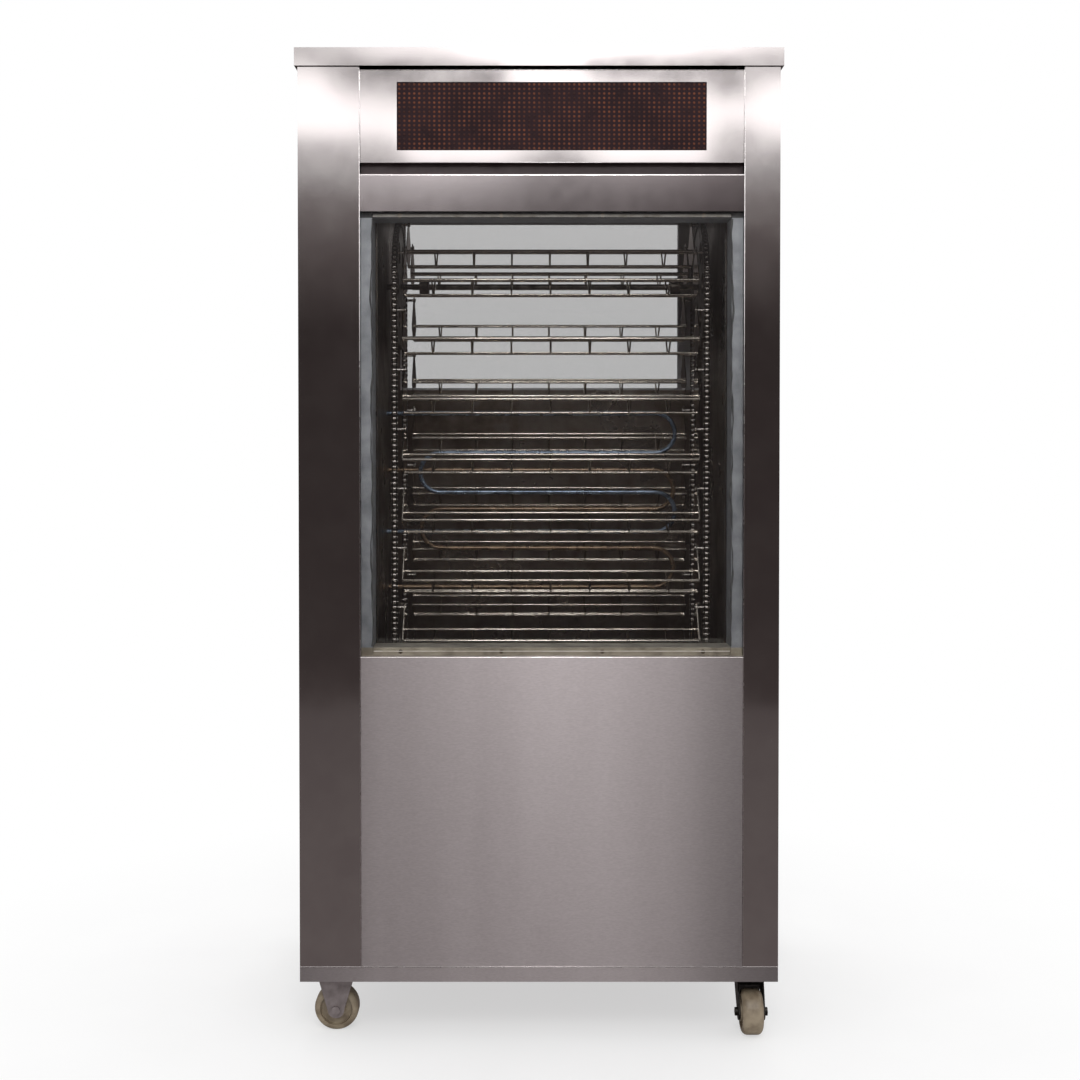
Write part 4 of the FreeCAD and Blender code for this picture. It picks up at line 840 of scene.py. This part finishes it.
# Steps back from the strip's face and up from the header's top, in mm.
lip = [(3.5, -6.0), (2.3, -5.2), (0, 1.0)]
lip_back = [(STRIP_SHEET, 1.4), (3.3, -4.6), (4.3, -5.2)]
profile = [(y, rail_high.z + z) for y, z in lip]
profile += [(y, fascia_low.z + 5.0) for y in (0, STRIP_SHEET)]
profile += [(y, rail_high.z + z) for y, z in lip_back]
bm = bmesh.new()
plate(bm, [Vector((rail_low.x, STRIP_FACE + y, z)) * MM for y, z in profile],
      ((rail_high.x - rail_low.x) * MM, 0, 0))
finish_piece(bm, "vent_slot_strip", "cabinet", "satin_steel", slot_back_painted_shade)

# %% [markdown]
# Folded sheet never has a razor edge: the fold is a small round, and it catches a bright line of light. A
# slim bead along each front fold stands for that round, because the CAD sheets have square folds. The header
# and the lower panel have a larger top fold, built as a lip that leans back. Cloths and sleeves rub the
# folds, so they are a little duller than the sheet and spread the light into a wider line.

# %% Bright fold lines
FOLD_RADIUS = 0.75 * MM
LIP_STEPS = 6
LIP_PROUD = 0.05
LIP_SUNK = 0.5
PANEL_LIP = 0.8
RAIL_LIP = 1.5
PILLAR_EDGES = (-298.0, 341.0)
PILLAR_FOOT = 126.0
PILLAR_TOP = 1624.0
TRAY_TOP = 125.0
# A rubbed edge: bright, with a broader shine than the sheet.
rubbed_fold = mottled_metal("stainless_steel_rubbed_fold", "#d2cbcb", "#e9e4e3", 0.22, 0.32, 30.0, 0.01)


def fold_line(bm, start, end, radius=FOLD_RADIUS):
    """A slim round bead with domed ends from start to end, both in mm."""
    start, end = Vector(start) * MM, Vector(end) * MM
    length = (end - start).length
    profile = [(0, 0), (0.3 * radius, 0.7 * radius), (radius, radius), (length - radius, radius),
               (length - 0.3 * radius, 0.7 * radius), (length, 0)]
    lathe(bm, start, end - start, profile, 10)


def fold_lip(bm, low, high, tall, first_lean, last_lean):
    """A rounded top fold on a sheet's front, sizes in mm. Its face leans back more and more, in degrees."""
    step = (last_lean - first_lean) / (LIP_STEPS - 1)
    leans = [math.radians(first_lean + step * k) for k in range(LIP_STEPS)]
    radius = tall / (math.sin(leans[-1]) - math.sin(leans[0]))
    outline = [(low.y - LIP_PROUD + radius * (math.cos(leans[-1]) - math.cos(lean)),
                high.z + radius * (math.sin(lean) - math.sin(leans[-1]))) for lean in leans]
    outline += [(low.y + LIP_SUNK, high.z - 0.1), (low.y + LIP_SUNK, high.z - tall)]
    plate(bm, [Vector((low.x, y, z)) * MM for y, z in outline], ((high.x - low.x) * MM, 0, 0))


panel_low, panel_high = (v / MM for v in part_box("lower_front_panel"))
tray_low, tray_high = (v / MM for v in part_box("base_frame"))
sill_front = glazing_low.y / MM
bm = bmesh.new()
fold_lip(bm, panel_low, panel_high, PANEL_LIP, first_lean=20, last_lean=55)
fold_lip(bm, rail_low, rail_high, RAIL_LIP, first_lean=5, last_lean=30)
for z in (fascia_low.z, fascia_high.z):
    fold_line(bm, (fascia_low.x, fascia_low.y, z), (fascia_high.x, fascia_low.y, z))
for x in (fascia_low.x, fascia_high.x):
    fold_line(bm, (x, fascia_low.y, fascia_low.z), (x, fascia_low.y, fascia_high.z))
for x in PILLAR_EDGES:
    fold_line(bm, (x, tray_low.y, PILLAR_FOOT), (x, tray_low.y, PILLAR_TOP))
fold_line(bm, (tray_low.x, tray_low.y, TRAY_TOP), (tray_high.x, tray_low.y, TRAY_TOP))
finish_piece(bm, "fold_lines", "cabinet", "mirror_steel", rubbed_fold)

# %% [markdown]
# Thin pale lines run along the panes' edges: two under the header and one along the sill. Each is a slim
# bead between the panes, pale and matt, a painted highlight for the glint there.

# %% Pane edges as painted highlights
PANE_INSET = 20.0
# The height and radius of each line, in mm.
edges = [(panel_high.z + 8.0, 0.6), (rail_low.z - 4.6, 0.5), (rail_low.z - 7.0, 0.4)]
# Painted highlights: pale beads standing for glints along the pane edges.
bm = bmesh.new()
for z, radius in edges:
    fold_line(bm, (panel_low.x + PANE_INSET, sill_front, z),
              (panel_high.x - PANE_INSET, sill_front, z), radius * MM)
finish_piece(bm, "pane_edge_painted_highlights", "cabinet", "clear_glass", pale_highlight_and_print)

# %% [markdown]
# A swivel fork is pressed from one sheet, so the metal also comes down between the two cheeks, from the crown
# and then round behind the wheel. The CAD fork is open there. The hood rides on the swivel and turns with it.

# %% Fork hoods
HOOD_HALF_WIDTH = 19.9 * MM
HOOD_RADIUS = 43.0 * MM
HOOD_THICKNESS = 2.0 * MM
HOOD_CROWN = (5 * MM, 68 * MM)
HOOD_NECK = (8 * MM, 48 * MM)
# Angles round the axle, from near the top towards the rear.
turns = [math.radians(14 + 4 * k) for k in range(14)]
outer = HOOD_RADIUS + HOOD_THICKNESS
near = [HOOD_CROWN, HOOD_NECK] + [(HOOD_RADIUS * math.sin(t), HOOD_RADIUS * math.cos(t)) for t in turns]
far = [(outer * math.sin(t), outer * math.cos(t)) for t in reversed(turns)]
far += [(y + HOOD_THICKNESS, z) for y, z in (HOOD_NECK, HOOD_CROWN)]
for end in ("front", "rear"):
    axle = sum(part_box(end + "_right_wheel"), Vector()) / 2
    bm = bmesh.new()
    plate(bm, [(axle.x - HOOD_HALF_WIDTH, axle.y + y, axle.z + z) for y, z in near + far],
          (2 * HOOD_HALF_WIDTH, 0, 0))
    # The hood takes the darker plating: painted shade.
    finish_piece(bm, "fork_hood_" + end, "swivel_" + end, "zinc", plating_painted_shade)

# %% [markdown]
# The control plate on the back gets its small parts: domed lenses on the two pilot lamps, printed ticks round
# the knob, and a pointer bar on the knob itself. The pointer rides on the knob, so it turns past the ticks,
# which stay on the plate. Seen from behind, the knob turns clockwise from half past seven to half past four.

# %% Lenses, ticks and pointer
LAMPS = (74.5, 108.5)
LAMP_FACE = 232.4
LENS_RADIUS = 5.2
TICKS = 11
FIRST_TICK = 45.0
SWEEP = 270.0
TICK_INNER = 24.0
TICK_OUTER = 28.0
LONG_TICK_OUTER = 31.0
PLATE_FACE = 227.5
# Moulded polycarbonate: clear colour with a soft shine.
amber_lens = moulded_plastic("polycarbonate_lens_amber", "#a8601f", "#c98a3c", 0.25, 2.0, 0.02, 8.0)
green_lens = moulded_plastic("polycarbonate_lens_green", "#3c6b3f", "#5d9460", 0.25, 2.0, 0.02, 8.0)
knob_low, knob_high = (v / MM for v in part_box("temperature_knob"))
knob_x = (knob_low.x + knob_high.x) / 2
knob_z = (knob_low.z + knob_high.z) / 2


def dial_bar(bm, turn, inner, outer, half, face, height):
    """A flat radial bar round the knob's axis; turn is in degrees clockwise from straight down."""
    out = Vector((math.sin(math.radians(turn)), 0, -math.cos(math.radians(turn))))
    side = Vector((out.z, 0, -out.x)) * half
    centre = Vector((knob_x, face, knob_z))
    corners = [centre + out * inner - side, centre + out * outer - side, centre + out * outer + side,
               centre + out * inner + side]
    plate(bm, [corner * MM for corner in corners], (0, height * MM, 0))


bm = bmesh.new()
for number, x in enumerate(LAMPS):
    dome = [(0, LENS_RADIUS), (1.2, LENS_RADIUS * 0.94), (2.4, LENS_RADIUS * 0.68), (3.0, 0)]
    lathe(bm, Vector((x, LAMP_FACE, knob_z)) * MM, (0, 1, 0), [(a * MM, r * MM) for a, r in dome], 20, number)
finish_piece(bm, "pilot_lenses", "cabinet", "dark_plastic", amber_lens, green_lens)
bm = bmesh.new()
for number in range(TICKS):
    outer = LONG_TICK_OUTER if number in (0, TICKS // 2, TICKS - 1) else TICK_OUTER
    turn = FIRST_TICK + SWEEP * number / (TICKS - 1)
    dial_bar(bm, turn, TICK_INNER, outer, half=0.6, face=PLATE_FACE - 0.1, height=0.25)
finish_piece(bm, "dial_ticks", "cabinet", "dark_plastic", dark_abs)
bm = bmesh.new()
dial_bar(bm, FIRST_TICK, inner=5.0, outer=19.0, half=0.9, face=knob_high.y - 0.2, height=0.6)
finish_piece(bm, "knob_pointer", "temperature_knob", "dark_plastic", pale_highlight_and_print)

# %% [markdown]
# The rear panel is held by pan-head screws along its sides, top and bottom. Each is a low lathed dome, and
# two slim dark bars across it are painted shade for its crossed recess.

# %% Rear panel screws
SCREW_HEAD = [(0, 4.5), (0.8, 4.5), (1.7, 3.6), (2.1, 2.4), (2.2, 0)]
SIDE_COLUMNS = (-380.0, 380.0)
SIDE_HEIGHTS = (160.0, 430.0, 700.0, 970.0, 1240.0, 1510.0)
END_COLUMNS = (-190.0, 0.0, 190.0)
END_HEIGHTS = (150.0, 1610.0)
RECESS_LONG = 2.2
RECESS_HALF = 0.5
RECESS_BASE = 1.9
RECESS_TALL = 0.35
panel_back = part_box("rear_panel")[1].y / MM
spots = [(x, z) for x in SIDE_COLUMNS for z in SIDE_HEIGHTS]
spots += [(x, z) for x in END_COLUMNS for z in END_HEIGHTS]
bm = bmesh.new()
for x, z in spots:
    lathe(bm, Vector((x, panel_back, z)) * MM, (0, 1, 0), [(a * MM, r * MM) for a, r in SCREW_HEAD], 16)
    # Two dark bars: painted shade for the crossed recess.
    for wide, tall in ((RECESS_LONG, RECESS_HALF), (RECESS_HALF, RECESS_LONG)):
        corners = [(x - wide, z - tall), (x + wide, z - tall), (x + wide, z + tall), (x - wide, z + tall)]
        plate(bm, [Vector((cx, panel_back + RECESS_BASE, cz)) * MM for cx, cz in corners],
              (0, RECESS_TALL * MM, 0), 1)
finish_piece(bm, "rear_screws", "cabinet", "zinc", zinc_plate, plating_painted_shade)
